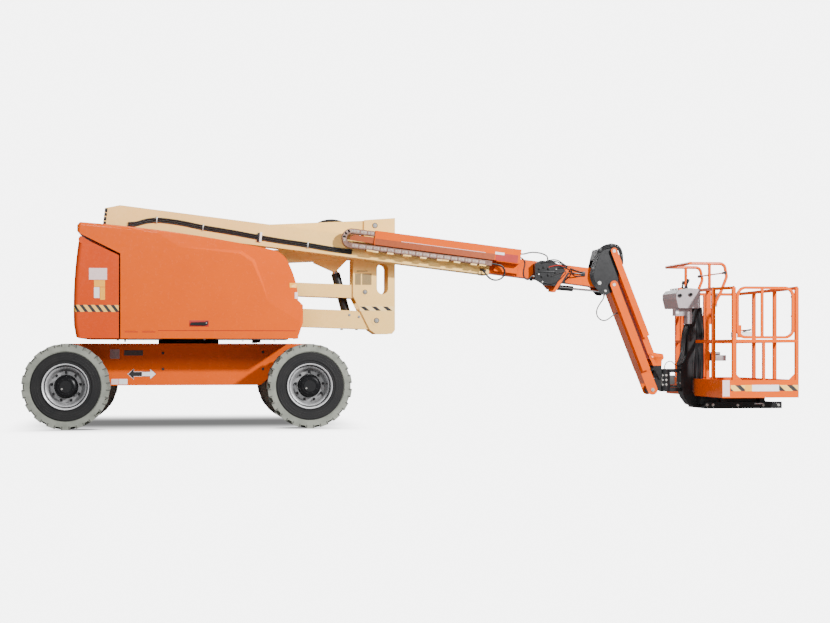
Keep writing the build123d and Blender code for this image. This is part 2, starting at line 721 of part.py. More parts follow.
def boom_strip(u_low, u_high, w_low, w_high):
    return strip(boom_rear, boom_angle, u_low, u_high, w_low, w_high)


track_near_y = -425.0
track_far_y = -335.0
track_half = 25.0
track_bend_radius = 75.0
track_bend_u = 2530.0
track_end_u = 4030.0
pad_gap = 0.3

with BuildPart() as main_boom:
    side_solid([boom_at(0, -boom_half_height), boom_at(boom_length, -boom_half_height),
                boom_at(boom_length, boom_half_height), boom_at(140, boom_half_height),
                boom_at(0, boom_half_height - 38)], boom_low_y, boom_high_y)
    side_solid(boom_strip(12, boom_length + 1, boom_wall - boom_half_height, boom_half_height - boom_wall),
               boom_low_y + boom_wall, boom_high_y - boom_wall, Mode.SUBTRACT)
    side_solid([boom_at(-1, boom_half_height - 50), boom_at(150, boom_half_height + 1),
                boom_at(-1, boom_half_height + 1)], boom_low_y, boom_high_y, Mode.SUBTRACT)
    side_solid(boom_strip(0, 160, -boom_half_height, boom_half_height - 60),
               boom_low_y + 1, boom_high_y - 1)
    side_solid([boom_at(0, boom_half_height - 60), boom_at(0, boom_half_height - 50),
                boom_at(150, boom_half_height - 1), boom_at(160, boom_half_height - 60)],
               boom_low_y + 1, boom_high_y - 1)
    pad_in = fly_half_height + pad_gap
    pad_in_y = fly_half_width + pad_gap
    for u_low in (boom_length - 140, boom_length - 900):
        side_solid(boom_strip(u_low, u_low + 120, 1 - boom_half_height, boom_half_height - 1),
                   boom_low_y + 1, boom_high_y - 1)
        side_solid(boom_strip(u_low - 1, u_low + 121, -pad_in, pad_in),
                   boom_middle_y - pad_in_y, boom_middle_y + pad_in_y, Mode.SUBTRACT)
    for y_low in (boom_middle_y - lug_outer_y, boom_middle_y + lug_inner_y):
        foot = boom_at(110, -boom_half_height - 8)
        hull_plate([(boom_pivot[0], boom_pivot[1], 50), (foot[0] - 90, foot[1] + 16, 8),
                    (foot[0] + 190, foot[1] - 18, 8)], y_low, y_low + lug_wall)
        near = boom_at(1390, -boom_half_height + 6)
        far = boom_at(1680, -boom_half_height + 6)
        hull_plate([(lift_head[0], lift_head[1], 40), (near[0], near[1], 5), (far[0], far[1], 5)],
                   y_low, y_low + lug_wall)
    round_bar(boom_pivot, 50, boom_middle_y - lug_outer_y, boom_middle_y + lug_outer_y)
    round_bar(boom_pivot, boom_pin + pin_gap, boom_low_y, boom_high_y, Mode.SUBTRACT)
    for u in (2700, 3100, 3500, 3900):
        side_solid(boom_strip(u, u + 70, -track_half - 14, -track_half - seat_gap),
                   track_near_y, boom_low_y + 1)
write(main_boom, "main_boom")

track_pitch = 75.0
track_notch = 9.0
track_notch_depth = 8.0
track_upper_length = 1790.0


def link_edge(u_from, u_to, w_edge, inward):
    # edge of a carrier run with a notch at each joint between links
    points = [(u_from, w_edge)]
    for step in range(1, int((u_to - u_from) / track_pitch)):
        u = u_from + step * track_pitch
        points += [(u, w_edge), (u, w_edge + inward * track_notch_depth),
                   (u + track_notch, w_edge + inward * track_notch_depth), (u + track_notch, w_edge)]
    return points + [(u_to, w_edge)]


with BuildPart() as track_lower_run:
    lower_edge = link_edge(track_bend_u, track_end_u, -track_half, 1)
    run = lower_edge + [(track_end_u, track_half), (track_bend_u, track_half)]
    side_solid([boom_at(*place) for place in run], track_near_y, track_far_y)
    centre = boom_at(track_bend_u, track_bend_radius)
    reach = track_bend_radius + track_half
    round_bar(centre, reach, track_near_y, track_far_y)
    above = boom_strip(track_bend_u - reach - 1, track_bend_u + reach + 1, track_half, track_half + 2 * reach)
    side_solid(above, track_near_y - 1, track_far_y + 1, Mode.SUBTRACT)
write(track_lower_run, "track_lower_run")

with BuildPart() as track_bend:
    upper = 2 * track_bend_radius
    upper_end = track_bend_u + track_upper_length
    upper_edge = link_edge(track_bend_u, upper_end, upper + track_half, -1)
    run = upper_edge + [(upper_end, upper - track_half), (track_bend_u, upper - track_half)]
    side_solid([boom_at(*place) for place in run], track_near_y, track_far_y)
    round_bar(centre, track_bend_radius + track_half, track_near_y, track_far_y)
    round_bar(centre, track_bend_radius - track_half, track_near_y - 1, track_far_y + 1, Mode.SUBTRACT)
    side_solid(boom_strip(track_bend_u, track_bend_u + 200, -40, upper - track_half),
               track_near_y - 1, track_far_y + 1, Mode.SUBTRACT)
    side_solid(boom_strip(track_bend_u - 200, track_bend_u + 200, -40, track_half + seat_gap),
               track_near_y - 1, track_far_y + 1, Mode.SUBTRACT)
    for turn in (118, 156, 194):
        notch = strip(centre, turn, track_bend_radius + track_half - track_notch_depth,
                      track_bend_radius + track_half + 20, -track_notch / 2, track_notch / 2)
        side_solid(notch, track_near_y - 1, track_far_y + 1, Mode.SUBTRACT)
write(track_bend, "track_bend")

lift_closed = span(lift_foot, lift_head)
lift_tilt = slope(lift_foot, lift_head)
lift_barrel_end = lift_closed - 130.0
lift_rod_radius = 28.0
lift_eye_half = lug_inner_y - side_gap

with BuildPart() as lift_barrel:
    bore = lift_rod_radius + seat_gap
    turned(lift_foot, lift_tilt, boom_middle_y,
           [(20, 0), (20, 50), (lift_barrel_end - 40, 50), (lift_barrel_end - 40, 58), (lift_barrel_end, 58),
            (lift_barrel_end, bore), (80, bore), (80, 0)])
    round_bar(lift_foot, 46, boom_middle_y - 58, boom_middle_y + 58)
    round_bar(lift_foot, lift_pin + pin_gap, boom_middle_y - 70, boom_middle_y + 70, Mode.SUBTRACT)
write(lift_barrel, "lift_cylinder_barrel")

with BuildPart() as lift_rod:
    turned(lift_foot, lift_tilt, boom_middle_y,
           [(90, 0), (90, lift_rod_radius), (lift_closed - 10, lift_rod_radius), (lift_closed - 10, 0)])
    round_bar(lift_head, 38, boom_middle_y - lift_eye_half, boom_middle_y + lift_eye_half)
write(lift_rod, "lift_cylinder_rod")

# ---------------------------------------------------------------- fly section
with BuildPart() as fly_boom:
    low_y = boom_middle_y - fly_half_width
    high_y = boom_middle_y + fly_half_width
    side_solid(boom_strip(fly_tail, fly_tip, -fly_half_height, fly_half_height), low_y, high_y)
    inner_half = fly_half_height - fly_wall
    side_solid(boom_strip(fly_tail - 1, fly_tip - 140, -inner_half, inner_half),
               low_y + fly_wall, high_y - fly_wall, Mode.SUBTRACT)
    ear = boom_at(fly_tip - 160, 0)
    hull_plate([(level_pivot[0], level_pivot[1], 48), (ear[0], ear[1] - 10, 80)], low_y, high_y)
    side_solid(boom_strip(fly_tip + 20, fly_tip + 200, -20, 140), low_y - 1, high_y + 1, Mode.SUBTRACT)
    round_bar(level_pivot, 24 + pin_gap, low_y - 1, high_y + 1, Mode.SUBTRACT)
    block((4290, 4500), (boom_middle_y - 36, boom_middle_y + 36), (1330, 1460), Mode.SUBTRACT)
    near = boom_at(4620, -fly_half_height + 4)
    far = boom_at(4860, -fly_half_height + 4)
    for y_low in (boom_middle_y - 54, boom_middle_y + 42):
        hull_plate([(level_barrel_foot[0], level_barrel_foot[1], 30), (near[0], near[1], 4),
                    (far[0], far[1], 4)], y_low, y_low + plate)
    round_bar(level_barrel_foot, 14, boom_middle_y - 58, boom_middle_y + 58)
    stay_y = low_y - seat_gap - valve_depth - seat_gap
    stay = [(4721, -205), (4757, -205), (4890, 70), (4858, 82)]
    side_solid([boom_at(*place) for place in stay], stay_y - 6, stay_y)
    side_solid(boom_strip(4700, 4757, -213, -205), stay_y - 6, low_y + 20)
    side_solid(boom_strip(4700, 4757, -206, -fly_half_height + 1), low_y, low_y + 20)
write(fly_boom, "fly_boom")

tube_low_w = 37.0
tube_high_w = 183.0
tube_wall = 5.0
tube_rear_u = 2768.0
tube_front_u = 4328.0

with BuildPart() as track_tube:
    side_solid(boom_strip(tube_rear_u, tube_front_u, tube_low_w, tube_high_w),
               track_near_y - 8, track_far_y + 8)
    side_solid(boom_strip(tube_rear_u - 1, tube_front_u - 6, tube_low_w + tube_wall, tube_high_w - tube_wall),
               track_near_y - 8 + tube_wall, track_far_y + 8 - tube_wall, Mode.SUBTRACT)
    shelf_w = 2 * track_bend_radius - track_half - seat_gap
    side_solid(boom_strip(tube_rear_u + 30, tube_front_u - 20, shelf_w - 5, shelf_w), track_near_y - 5,
               track_far_y + 5)
    side_solid(boom_strip(4075, tube_front_u, -70, tube_low_w + 1), track_far_y - 6,
               boom_middle_y - fly_half_width - seat_gap)
    side_solid(boom_strip(4075, tube_front_u, tube_low_w - 8, tube_low_w + 1), track_near_y - 4,
               boom_middle_y - fly_half_width - seat_gap)
write(track_tube, "track_tube")

with BuildPart() as valve_block:
    low_y = boom_middle_y - fly_half_width - seat_gap
    cover = [(4498, 60), (4560, 100), (4680, 108), (4770, 79), (4885, 4), (4860, -40), (4790, -150),
             (4640, -150), (4520, -98)]
    side_solid([boom_at(*place) for place in cover], low_y - valve_depth, low_y)
write(valve_block, "valve_block")
valve_port_w = 106.2          # the cover's slanted top where the upper hose meets it
valve_rear_port_u = 4515.0    # its rear edge where the lower hose meets it

# ---------------------------------------------------------------- hoses
def hose(name, points, diameter):
    # round hose along straight runs joined by arcs as large as the runs allow
    radii = []
    for before, corner, after in zip(points, points[1:], points[2:]):
        arriving = Vector(*corner) - Vector(*before)
        leaving = Vector(*after) - Vector(*corner)
        turn = radians(arriving.get_angle(leaving))
        radii.append(0.45 * min(arriving.length, leaving.length) / tan(turn / 2))
    with BuildPart() as tube:
        with BuildLine() as path:
            FilletPolyline(*points, radius=radii)
        with BuildSketch(Plane(path.line @ 0, z_dir=path.line % 0)) as section:
            Circle(diameter / 2)
        sweep(section.sketch, path=path.line)
    reach = path.wires()[0].length
    share = tube.part.volume / (reach * pi * diameter ** 2 / 4)
    print(name, "length", round(reach), "smallest radius", round(min(radii)), "volume share", round(share, 3))
    return tube


def boom_point(u, w, y):
    x, z = boom_at(u, w)
    return (x, y, z)


hose_diameter = 16.0
boom_hose_y = boom_low_y - hose_diameter / 2 - seat_gap
boom_hose_route = ((250, -72), (330, -58), (420, -15), (540, 14), (770, 16), (1006, -6), (1282, -14),
                   (1574, -32), (1804, -42), (2096, -46), (2329, -58), (2560, -60))
boom_tubes = [hose("boom hose", [boom_point(u, w + drop, boom_hose_y) for u, w in boom_hose_route],
                   hose_diameter) for drop in (-18.0, 0.0, 18.0)]
with BuildPart() as boom_hoses:
    for tube in boom_tubes:
        add(tube.part)
write(boom_hoses, "boom_hoses")

loop_route = (
    # along the boom, above its middle line, across
    (track_end_u + seat_gap, 0, -382), (4085, 0, -382), (4150, -10, -380), (4188, -60, -378),
    (4176, -126, -376), (4120, -168, -374), (4050, -168, -372), (3996, -128, -366), (3962, -66, -345),
    (3962, -66, boom_low_y - seat_gap),
)
for hose_name, shift in (("track_loop_hose_near", -24.0), ("track_loop_hose_far", 0.0)):
    route = [boom_point(u, w, y + (shift if y < -345 else 0)) for u, w, y in loop_route[:-2]]
    route += [boom_point(u + shift * 1.2, w, y + (shift if y < boom_low_y - 1 else 0))
              for u, w, y in loop_route[-2:]]
    write(hose(hose_name, route, hose_diameter), hose_name)

fly_upper_route = ((tube_front_u + seat_gap, 140, -385), (4362, 140, -385), (4436, 172, -380),
                   (4516, 180, -370), (4590, 174, -354), (4640, 150, -346), (4640, valve_port_w, -346))
fly_upper_points = [boom_point(*place) for place in fly_upper_route]
write(hose("fly_hose_upper", fly_upper_points, hose_diameter), "fly_hose_upper")
fly_lower_route = ((tube_front_u + seat_gap, 100, -400), (4346, 100, -400), (4388, 64, -401), (4384, 0, -402),
                   (4378, -60, -402), (4400, -112, -399), (4446, -124, -388), (4474, -88, -366),
                   (4488, -72, -358), (valve_rear_port_u, -72, -358))
fly_lower_points = [boom_point(*place) for place in fly_lower_route]
write(hose("fly_hose_lower", fly_lower_points, hose_diameter), "fly_hose_lower")

jib_loop_route = ((4396, -306, 1367.8), (4396, -307, 1334), (4350, -309, 1275), (4312, -309, 1208),
                  (4316, -308, 1142), (4360, -304, 1098), (4416, -296, 1092), (4470, -284, 1124),
                  (4518.5, -276, 1163), (4555.4, -276, 1177.5))
write(hose("jib_loop_hose", jib_loop_route, 14.0), "jib_loop_hose")

# ---------------------------------------------------------------- levelling bracket
bracket_low_y = boom_middle_y - 122.0
bracket_high_y = boom_middle_y + 122.0

with BuildPart() as jib_bracket:
    for y_low in (bracket_low_y, bracket_high_y - plate):
        side_solid([(4262, 1590), (4332, 1859), (4450, 1878), (4530, 1872), (4568, 1740), (4545, 1460),
                    (4480, 1400), (4420, 1366), (4372, 1372), (4290, 1460)], y_low, y_low + plate)
    side_solid([(4300, 1745), (4332, 1859), (4420, 1872), (4420, 1862), (4338, 1848), (4311, 1742)],
               bracket_low_y, bracket_high_y)
    round_bar(level_pivot, 24, bracket_low_y - 5, bracket_high_y + 5)
    round_bar(jib_foot, jib_pin, bracket_low_y - 5, bracket_high_y + 5)
    round_bar(jib_link_foot, jib_pin, bracket_low_y - 5, bracket_high_y + 5)
    for y_low in (boom_middle_y - 44, boom_middle_y + 32):
        hull_plate([(level_rod_pin[0], level_rod_pin[1], 26), (4440, 1386, 12)], y_low, y_low + plate)
    for y_low, y_high in ((bracket_low_y - 5, boom_middle_y - 32), (boom_middle_y + 32, bracket_high_y + 5)):
        round_bar(level_rod_pin, 15, y_low, y_high)
write(jib_bracket, "jib_bracket")

level_closed = span(level_barrel_foot, level_rod_pin)
level_tilt = slope(level_barrel_foot, level_rod_pin)
level_barrel_end = 262.0

with BuildPart() as level_barrel:
    turned(level_barrel_foot, level_tilt, boom_middle_y,
           [(10, 0), (10, 29), (level_barrel_end, 29), (level_barrel_end, 12.3), (50, 12.3), (50, 0)])
    round_bar(level_barrel_foot, 26, boom_middle_y - 36, boom_middle_y + 36)
    round_bar(level_barrel_foot, 14 + pin_gap, boom_middle_y - 50, boom_middle_y + 50, Mode.SUBTRACT)
write(level_barrel, "level_cylinder_barrel")

with BuildPart() as level_rod:
    turned(level_barrel_foot, level_tilt, boom_middle_y,
           [(190, 0), (190, 12), (level_closed - 5, 12), (level_closed - 5, 0)])
    round_bar(level_rod_pin, 22, boom_middle_y - 26, boom_middle_y + 26)
write(level_rod, "level_cylinder_rod")

# ================================================================ jib
jib_tip_pin = along(jib_foot, jib_angle, jib_length, 0)
jib_tip_link = along(jib_link_foot, jib_angle, jib_length, 0)
jib_low_y = boom_middle_y - 100.0
jib_high_y = boom_middle_y + 100.0
jib_wall = 10.0

with BuildPart() as jib_beam:
    for y_low in (jib_low_y, jib_high_y - jib_wall):
        hull_plate([(jib_foot[0], jib_foot[1], jib_half), (jib_tip_pin[0], jib_tip_pin[1], jib_half)],
                   y_low, y_low + jib_wall)
    side_solid(strip(jib_foot, jib_angle, 70, jib_length - 90, 1 - jib_half, jib_wall - jib_half),
               jib_low_y + 1, jib_high_y - 1)
    round_bar(jib_foot, jib_pin + 18, jib_low_y, jib_high_y)
    round_bar(jib_foot, jib_pin + pin_gap, jib_low_y - 1, jib_high_y + 1, Mode.SUBTRACT)
    round_bar(jib_tip_pin, jib_pin, jib_low_y - 4, jib_high_y + 4)
write(jib_beam, "jib_beam")

with BuildPart() as jib_link:
    y_low = jib_low_y + jib_wall + 8
    y_high = jib_high_y - jib_wall - 8
    hull_plate([(jib_link_foot[0], jib_link_foot[1], jib_link_half),
                (jib_tip_link[0], jib_tip_link[1], jib_link_half)], y_low, y_high)
    side_solid(strip(jib_link_foot, jib_angle, 60, jib_length - 60, 8 - jib_link_half, jib_link_half - 8),
               y_low + 8, y_high - 8, Mode.SUBTRACT)
    fan = [(4962, 752), (5064, 736), (5074, 692), (5042, 652), (4985, 642), (4950, 690)]
    for low in (y_low, (y_low + y_high) / 2 - 4, y_high - 8):
        side_solid(fan, low, low + 8)
    for pivot in (jib_link_foot, jib_tip_link):
        round_bar(pivot, jib_pin + pin_gap, y_low - 1, y_high + 1, Mode.SUBTRACT)
write(jib_link, "jib_link")

tongue_low_y = jib_low_y + jib_wall + side_gap
tongue_high_y = jib_high_y - jib_wall - side_gap
tip_back_x = 5040.0

with BuildPart() as jib_tip:
    hull_plate([(jib_tip_pin[0], jib_tip_pin[1], 40), (4990, 380, 40), (4990, 440, 40)],
               tongue_low_y, tongue_high_y)
    round_bar(jib_tip_pin, jib_pin + pin_gap, tongue_low_y - 1, tongue_high_y + 1, Mode.SUBTRACT)
    block((5000, tip_back_x), (tongue_low_y, tongue_high_y), (340, 560))
    for y_low in (jib_low_y - 2, jib_high_y - plate + 2):
        hull_plate([(jib_tip_link[0], jib_tip_link[1], 40), (5020, 560, 18), (5034, 700, 10),
                    (5022, 480, 10)], y_low, y_low + plate)
    block((5008, tip_back_x), (jib_low_y - 2, jib_high_y + 2), (470, 560))
    round_bar(jib_tip_link, jib_pin, jib_low_y - 6, jib_high_y + 6)
write(jib_tip, "jib_tip")

rotator_low = 330.0
rotator_high = 575.0
rotator_radius = 62.0

with BuildPart() as rotator:
    with BuildSketch(Plane.XY.offset(rotator_low + 40)) as body:
        with Locations((rotator_x, boom_middle_y)):
            Circle(rotator_radius)
    extrude(body.sketch, amount=rotator_high - rotator_low - 80)
    block((tip_back_x + seat_gap, rotator_x), (boom_middle_y - 55, boom_middle_y + 55),
          (rotator_low + 50, rotator_high - 50))
write(rotator, "rotator")

# ================================================================ platform
column_top = 640.0
column_rear = 5268.0
column_front = 5396.0

with BuildPart() as platform_support:
    for low in (rotator_low, rotator_high - 40 + seat_gap):
        with BuildSketch(Plane.XY.offset(low)) as flange:
            with Locations((rotator_x, boom_middle_y)):
                Circle(rotator_radius - 2)
        extrude(flange.sketch, amount=40 - seat_gap)
        block((rotator_x, column_rear + 22), (boom_middle_y - 40, boom_middle_y + 40),
              (low, low + 40 - seat_gap))
    side_solid([(column_rear, column_top), (column_rear, 380), (5300, 270), (5360, 190), (5470, 152),
                (5560, 148), (5560, 222), (5500, 228), (5436, 262), (column_front, 330),
                (column_front, column_top)], boom_middle_y - 75, boom_middle_y + 75)
    for side in (-1, 1):
        y_span = sorted((boom_middle_y + side * 200, boom_middle_y + side * 280))
        block((5470, 6330), y_span, (150, 222))
    block((5470, 5560), (boom_middle_y - 280, boom_middle_y + 280), (150, 222))
    block((6180, 6240), (boom_middle_y - 280, boom_middle_y + 280), (150, 222))
    for x in (5640, 6080):
        block((x, x + 60), (boom_middle_y - 275, boom_middle_y + 275), (221, floor_bottom - seat_gap))
write(platform_support, "platform_support")

with BuildPart() as platform_floor:
    block((platform_rear, platform_front), (platform_low_y, platform_high_y), (platform_bottom, toe_top))
    block((platform_rear + 6, platform_front - 6), (platform_low_y + 6, platform_high_y - 6),
          (floor_top, toe_top + 1), Mode.SUBTRACT)
    block((platform_rear + 30, platform_front - 30), (platform_low_y + 30, platform_high_y - 30),
          (platform_bottom - 1, floor_bottom), Mode.SUBTRACT)
write(platform_floor, "platform_floor")

post = 36.0
rail_low_z = toe_top + seat_gap
rail_rear = platform_rear + post / 2
rail_front = platform_front - post / 2
rail_near = platform_low_y + post / 2
rail_far = platform_high_y - post / 2
side_post_x = 5555.0            # the side posts stand back from the cut rear corners
corner_half_y = 600.0
centre_post_x = 5878.0
post_places = (
    # x, y
    (side_post_x, rail_near), (rail_front, rail_near), (side_post_x, rail_far), (rail_front, rail_far),
    (rail_rear, boom_middle_y - corner_half_y), (rail_rear, boom_middle_y + corner_half_y),
    (rail_rear, boom_middle_y - 420), (rail_rear, boom_middle_y + 420),
    (rail_front, boom_middle_y - 300), (rail_front, boom_middle_y + 300),
    (centre_post_x, rail_far),
)

gate_gap = 8.0
gate_low = rail_mid + rail_radius + gate_gap
gate_rear = side_post_x + post / 2 + gate_gap
gate_front = rail_front - post / 2 - gate_gap
gate_radius = 14.0
gate_hinge_x = gate_front + gate_gap / 2
gate_hinge_y = rail_near + post / 2 + 9
gate_hinge_zs = (1130.0, 1330.0)
gusset = 70.0
latch_top = 1036.0


def plan_bar(start, end, half, z_low, z_high):
    # level bar between two points in plan
    reach = Vector(end[0] - start[0], end[1] - start[1])
    out = Vector(-reach.Y, reach.X) * (half / reach.length)
    corners = [(start[0] + out.X, start[1] + out.Y), (end[0] + out.X, end[1] + out.Y),
               (end[0] - out.X, end[1] - out.Y), (start[0] - out.X, start[1] - out.Y)]
    with BuildSketch(Plane.XY.offset(z_low)) as outline:
        with BuildLine():
            Polyline(*corners, close=True)
        make_face()
    extrude(outline.sketch, amount=z_high - z_low)


with BuildPart() as platform_rails:
    for x, y in post_places:
        block((x - post / 2, x + post / 2), (y - post / 2, y + post / 2), (rail_low_z, rail_top - 10))
    thick = rail_radius
    for z in (rail_top - rail_radius, rail_mid):
        block((side_post_x, rail_front), (rail_far - thick, rail_far + thick), (z - thick, z + thick))
        block((rail_rear - thick, rail_rear + thick),
              (boom_middle_y - corner_half_y, boom_middle_y + corner_half_y), (z - thick, z + thick))
        block((rail_front - thick, rail_front + thick), (rail_near, rail_far), (z - thick, z + thick))
        for y, side in ((rail_near, -1), (rail_far, 1)):
            plan_bar((rail_rear, boom_middle_y + side * corner_half_y), (side_post_x, y), thick - 1,
                     z - thick + 1, z + thick - 1)
    block((side_post_x, rail_front), (rail_near - thick, rail_near + thick),
          (rail_mid - thick, rail_mid + thick))
    block((centre_post_x - 14, centre_post_x + 14), (rail_near - 14, rail_near + 14), (rail_low_z, rail_mid))
    for x, way in ((side_post_x, 1), (rail_front, -1)):
        foot = x + way * post / 2 - way
        side_solid([(foot, rail_low_z), (foot + way * gusset, rail_low_z), (foot, rail_low_z + gusset)],
                   rail_near - 4, rail_near + 4)
    for z in gate_hinge_zs:
        for low in (z - 24, z + 8):
            block((gate_hinge_x - 8, rail_front), (rail_near + post / 2 - 1, gate_hinge_y + 8),
                  (low, low + 16))
        with BuildSketch(Plane.XY.offset(z - 24)) as hinge_pin:
            with Locations((gate_hinge_x, gate_hinge_y)):
                Circle(5)
        extrude(hinge_pin.sketch, amount=48)
write(platform_rails, "platform_rails")

with BuildPart() as gate:
    left, right = gate_rear + gate_radius, gate_front - gate_radius
    foot, head = gate_low + gate_radius, rail_top - gate_radius
    corners = [(left, foot), (right, foot), (right, head), (left, head)]
    with BuildSketch(Plane.XZ.offset(-rail_near - gate_radius)) as frame:
        with BuildLine():
            FilletPolyline(*corners, radius=90, close=True)
        make_face()
        offset(amount=gate_radius, mode=Mode.ADD)
        with BuildLine():
            FilletPolyline(*corners, radius=90, close=True)
        make_face(mode=Mode.PRIVATE)
        offset(amount=-2 * gate_radius, mode=Mode.SUBTRACT)
    extrude(frame.sketch, amount=2 * gate_radius)
    block((centre_post_x - 30, centre_post_x - 2), (rail_near - 12, rail_near + 12),
          (gate_low + gate_radius, rail_top - gate_radius))
    block((left, gate_rear + 54), (rail_near - 10, rail_near + 10), (gate_low + 10, latch_top))
    block((gate_rear + 172, gate_rear + 177), (rail_near - 10, rail_near + 10), (gate_low + 10, latch_top))
    block((gate_rear + 50, gate_rear + 150), (rail_near - 7, rail_near + 7), (latch_top - 62, latch_top - 48))
    for z in gate_hinge_zs:
        half = 8 - seat_gap
        block((gate_front - 24, gate_hinge_x), (rail_near + gate_radius - 1, gate_hinge_y + 8),
              (z - half, z + half))
        with BuildSketch(Plane.XY.offset(z - half)) as eye:
            with Locations((gate_hinge_x, gate_hinge_y)):
                Circle(8)
                Circle(5 + pin_gap, mode=Mode.SUBTRACT)
        extrude(eye.sketch, amount=2 * half)
        with BuildSketch(Plane.XY.offset(z - half - 1)) as bore:
            with Locations((gate_hinge_x, gate_hinge_y)):
                Circle(5 + pin_gap)
        extrude(bore.sketch, amount=2 * half + 2, mode=Mode.SUBTRACT)
write(gate, "gate")

hoop_radius = 17.0
hoop_x = rail_rear + rail_radius + hoop_radius + seat_gap
hoop_top = 1698.0
hoop_ys = (boom_middle_y - 385, boom_middle_y + 385)
hoop_rear = 5258.0

with BuildPart() as guard_hoops:
    for y in hoop_ys:
        tube_run([(hoop_rear, y, hoop_top), (5640, y, hoop_top), (5668, y, 1560), (5604, y, 1400),
                  (hoop_x, y, 1150)], hoop_radius, 60)
        tube_run([(hoop_x, y, 1050), (hoop_x, y, hoop_top - 4)], hoop_radius, 0)
    tube_run([(hoop_rear, hoop_ys[0] - hoop_radius, hoop_top), (hoop_rear, hoop_ys[1] + hoop_radius, hoop_top)],
             hoop_radius, 0)
    tube_run([(5640, hoop_ys[0], 1600), (5640, hoop_ys[1], 1600)], 8, 0)
write(guard_hoops, "guard_hoops")

console_front = rail_rear - rail_radius - seat_gap
console_low = 1228.0
cover_rear = 5372.0

with BuildPart() as control_console:
    side_solid([(5160, 1385), (5195, 1425), (5310, 1443), (console_front - 20, 1434), (console_front, 1420),
                (console_front, console_low), (5185, console_low), (5160, 1330)],
               boom_middle_y - 240, boom_middle_y + 240)
    side_solid([(5175, console_low + 1), (5175, 1146), (5304, 1146), (5304, 1060), (5358, 1060),
                (5358, console_low + 1)], boom_middle_y - 170, boom_middle_y - 60)
write(control_console, "control_console")

with BuildPart() as console_cover:
    top = console_low - seat_gap
    side_solid([(5300, column_top + seat_gap), (5392, column_top + seat_gap), (5412, 720), (5420, 900),
                (5424, top), (cover_rear, top), (cover_rear, 1050), (5338, 900), (5330, 714)],
               boom_middle_y - 80, boom_middle_y + 80)
    box_x = centre_post_x + post / 2 + seat_gap
    block((box_x, box_x + 150), (rail_far - 46, rail_far + 12), (655, 757))
write(console_cover, "console_cover")

flange_top = rotator_high
platform_hose_route = ((rotator_x, boom_middle_y, flange_top + seat_gap), (rotator_x, boom_middle_y, 616),
                       (rotator_x + 36, boom_middle_y - 4, 656), (rotator_x + 88, boom_middle_y - 4, 656),
                       (rotator_x + 126, boom_middle_y, 604), (column_rear - seat_gap, boom_middle_y, 604))
write(hose("platform_hose", platform_hose_route, 10.0), "platform_hose")
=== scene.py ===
import json
import math
import bmesh
import bpy
from mathutils import Euler, Matrix, Vector

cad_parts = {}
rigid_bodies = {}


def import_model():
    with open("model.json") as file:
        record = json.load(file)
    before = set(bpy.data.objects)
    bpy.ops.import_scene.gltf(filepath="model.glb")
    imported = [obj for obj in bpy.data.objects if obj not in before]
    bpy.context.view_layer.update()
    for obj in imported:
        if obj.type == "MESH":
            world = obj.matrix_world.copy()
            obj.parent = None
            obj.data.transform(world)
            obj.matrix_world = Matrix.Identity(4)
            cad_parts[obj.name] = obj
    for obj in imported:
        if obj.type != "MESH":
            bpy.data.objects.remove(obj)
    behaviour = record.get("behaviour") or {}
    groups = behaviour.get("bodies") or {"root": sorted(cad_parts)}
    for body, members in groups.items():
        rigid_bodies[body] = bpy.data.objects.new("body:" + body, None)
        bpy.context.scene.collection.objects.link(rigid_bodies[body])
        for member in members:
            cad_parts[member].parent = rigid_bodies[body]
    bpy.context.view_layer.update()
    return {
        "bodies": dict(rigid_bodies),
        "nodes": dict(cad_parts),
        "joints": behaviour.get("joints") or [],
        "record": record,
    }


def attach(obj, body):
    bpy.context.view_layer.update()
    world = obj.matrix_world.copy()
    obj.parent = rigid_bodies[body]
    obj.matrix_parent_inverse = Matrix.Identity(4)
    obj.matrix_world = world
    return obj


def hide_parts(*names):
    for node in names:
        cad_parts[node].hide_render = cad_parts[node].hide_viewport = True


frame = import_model()
nodes = frame["nodes"]
nodeBody = {name: body for body, names in frame["record"]["behaviour"]["bodies"].items() for name in names}

# camera and light -------------------------------------------------------------

studio = {
    "cameraPlace": (-0.0865, -16.1965, 0.7606),
    "cameraYaw": -8.717,          # degrees about Z, turned towards the platform
    "lens": 66.41,
    "shiftY": 0.0484,
    "floorHalf": 60.0,
    "ambient": (0.96, 0.98, 1.0),
    "ambientStrength": 0.24,
    "backdropStrength": 6.0,
    "floorThrown": 0.28,          # how much of the light the floor throws back
    "shadeReach": 0.5,            # how far above the floor a cover still shades it
    "shadeOpen": (0.25, 0.95),    # share of open sky where the shade is deepest and where it ends
    "shadeStrength": 0.30,
    "shadeCurve": 2.2,            # how fast the shade clears towards its end
    "shadeEnds": (1.0, 1.9),      # the shade stays round the chassis: along X
    "shadeMiddle": 0.45,          # and across, either side of this line
    "shadeDepth": (0.3, 2.4),
    "shadeShare": 0.78,
}
softBoxes = [
    # name, place, aimed at, width, height, watts
    ("key", (8.6, -9.5, 6.05), (0.5, 0.0, 1.0), 0.6, 0.5, 3050.0),
    ("overhead", (2.0, 0.5, 9.0), (2.0, 0.0, 0.8), 12.0, 7.0, 700.0),
    ("frontFill", (-2.0, -12.0, 6.0), (2.0, 0.0, 1.0), 3.0, 2.4, 700.0),
    ("rearFill", (4.0, 11.0, 6.0), (2.0, 0.0, 1.0), 5.0, 4.0, 500.0),
]


def aim(item, place, target):
    item.location = place
    item.rotation_euler = (Vector(target) - Vector(place)).to_track_quat("-Z", "Y").to_euler()


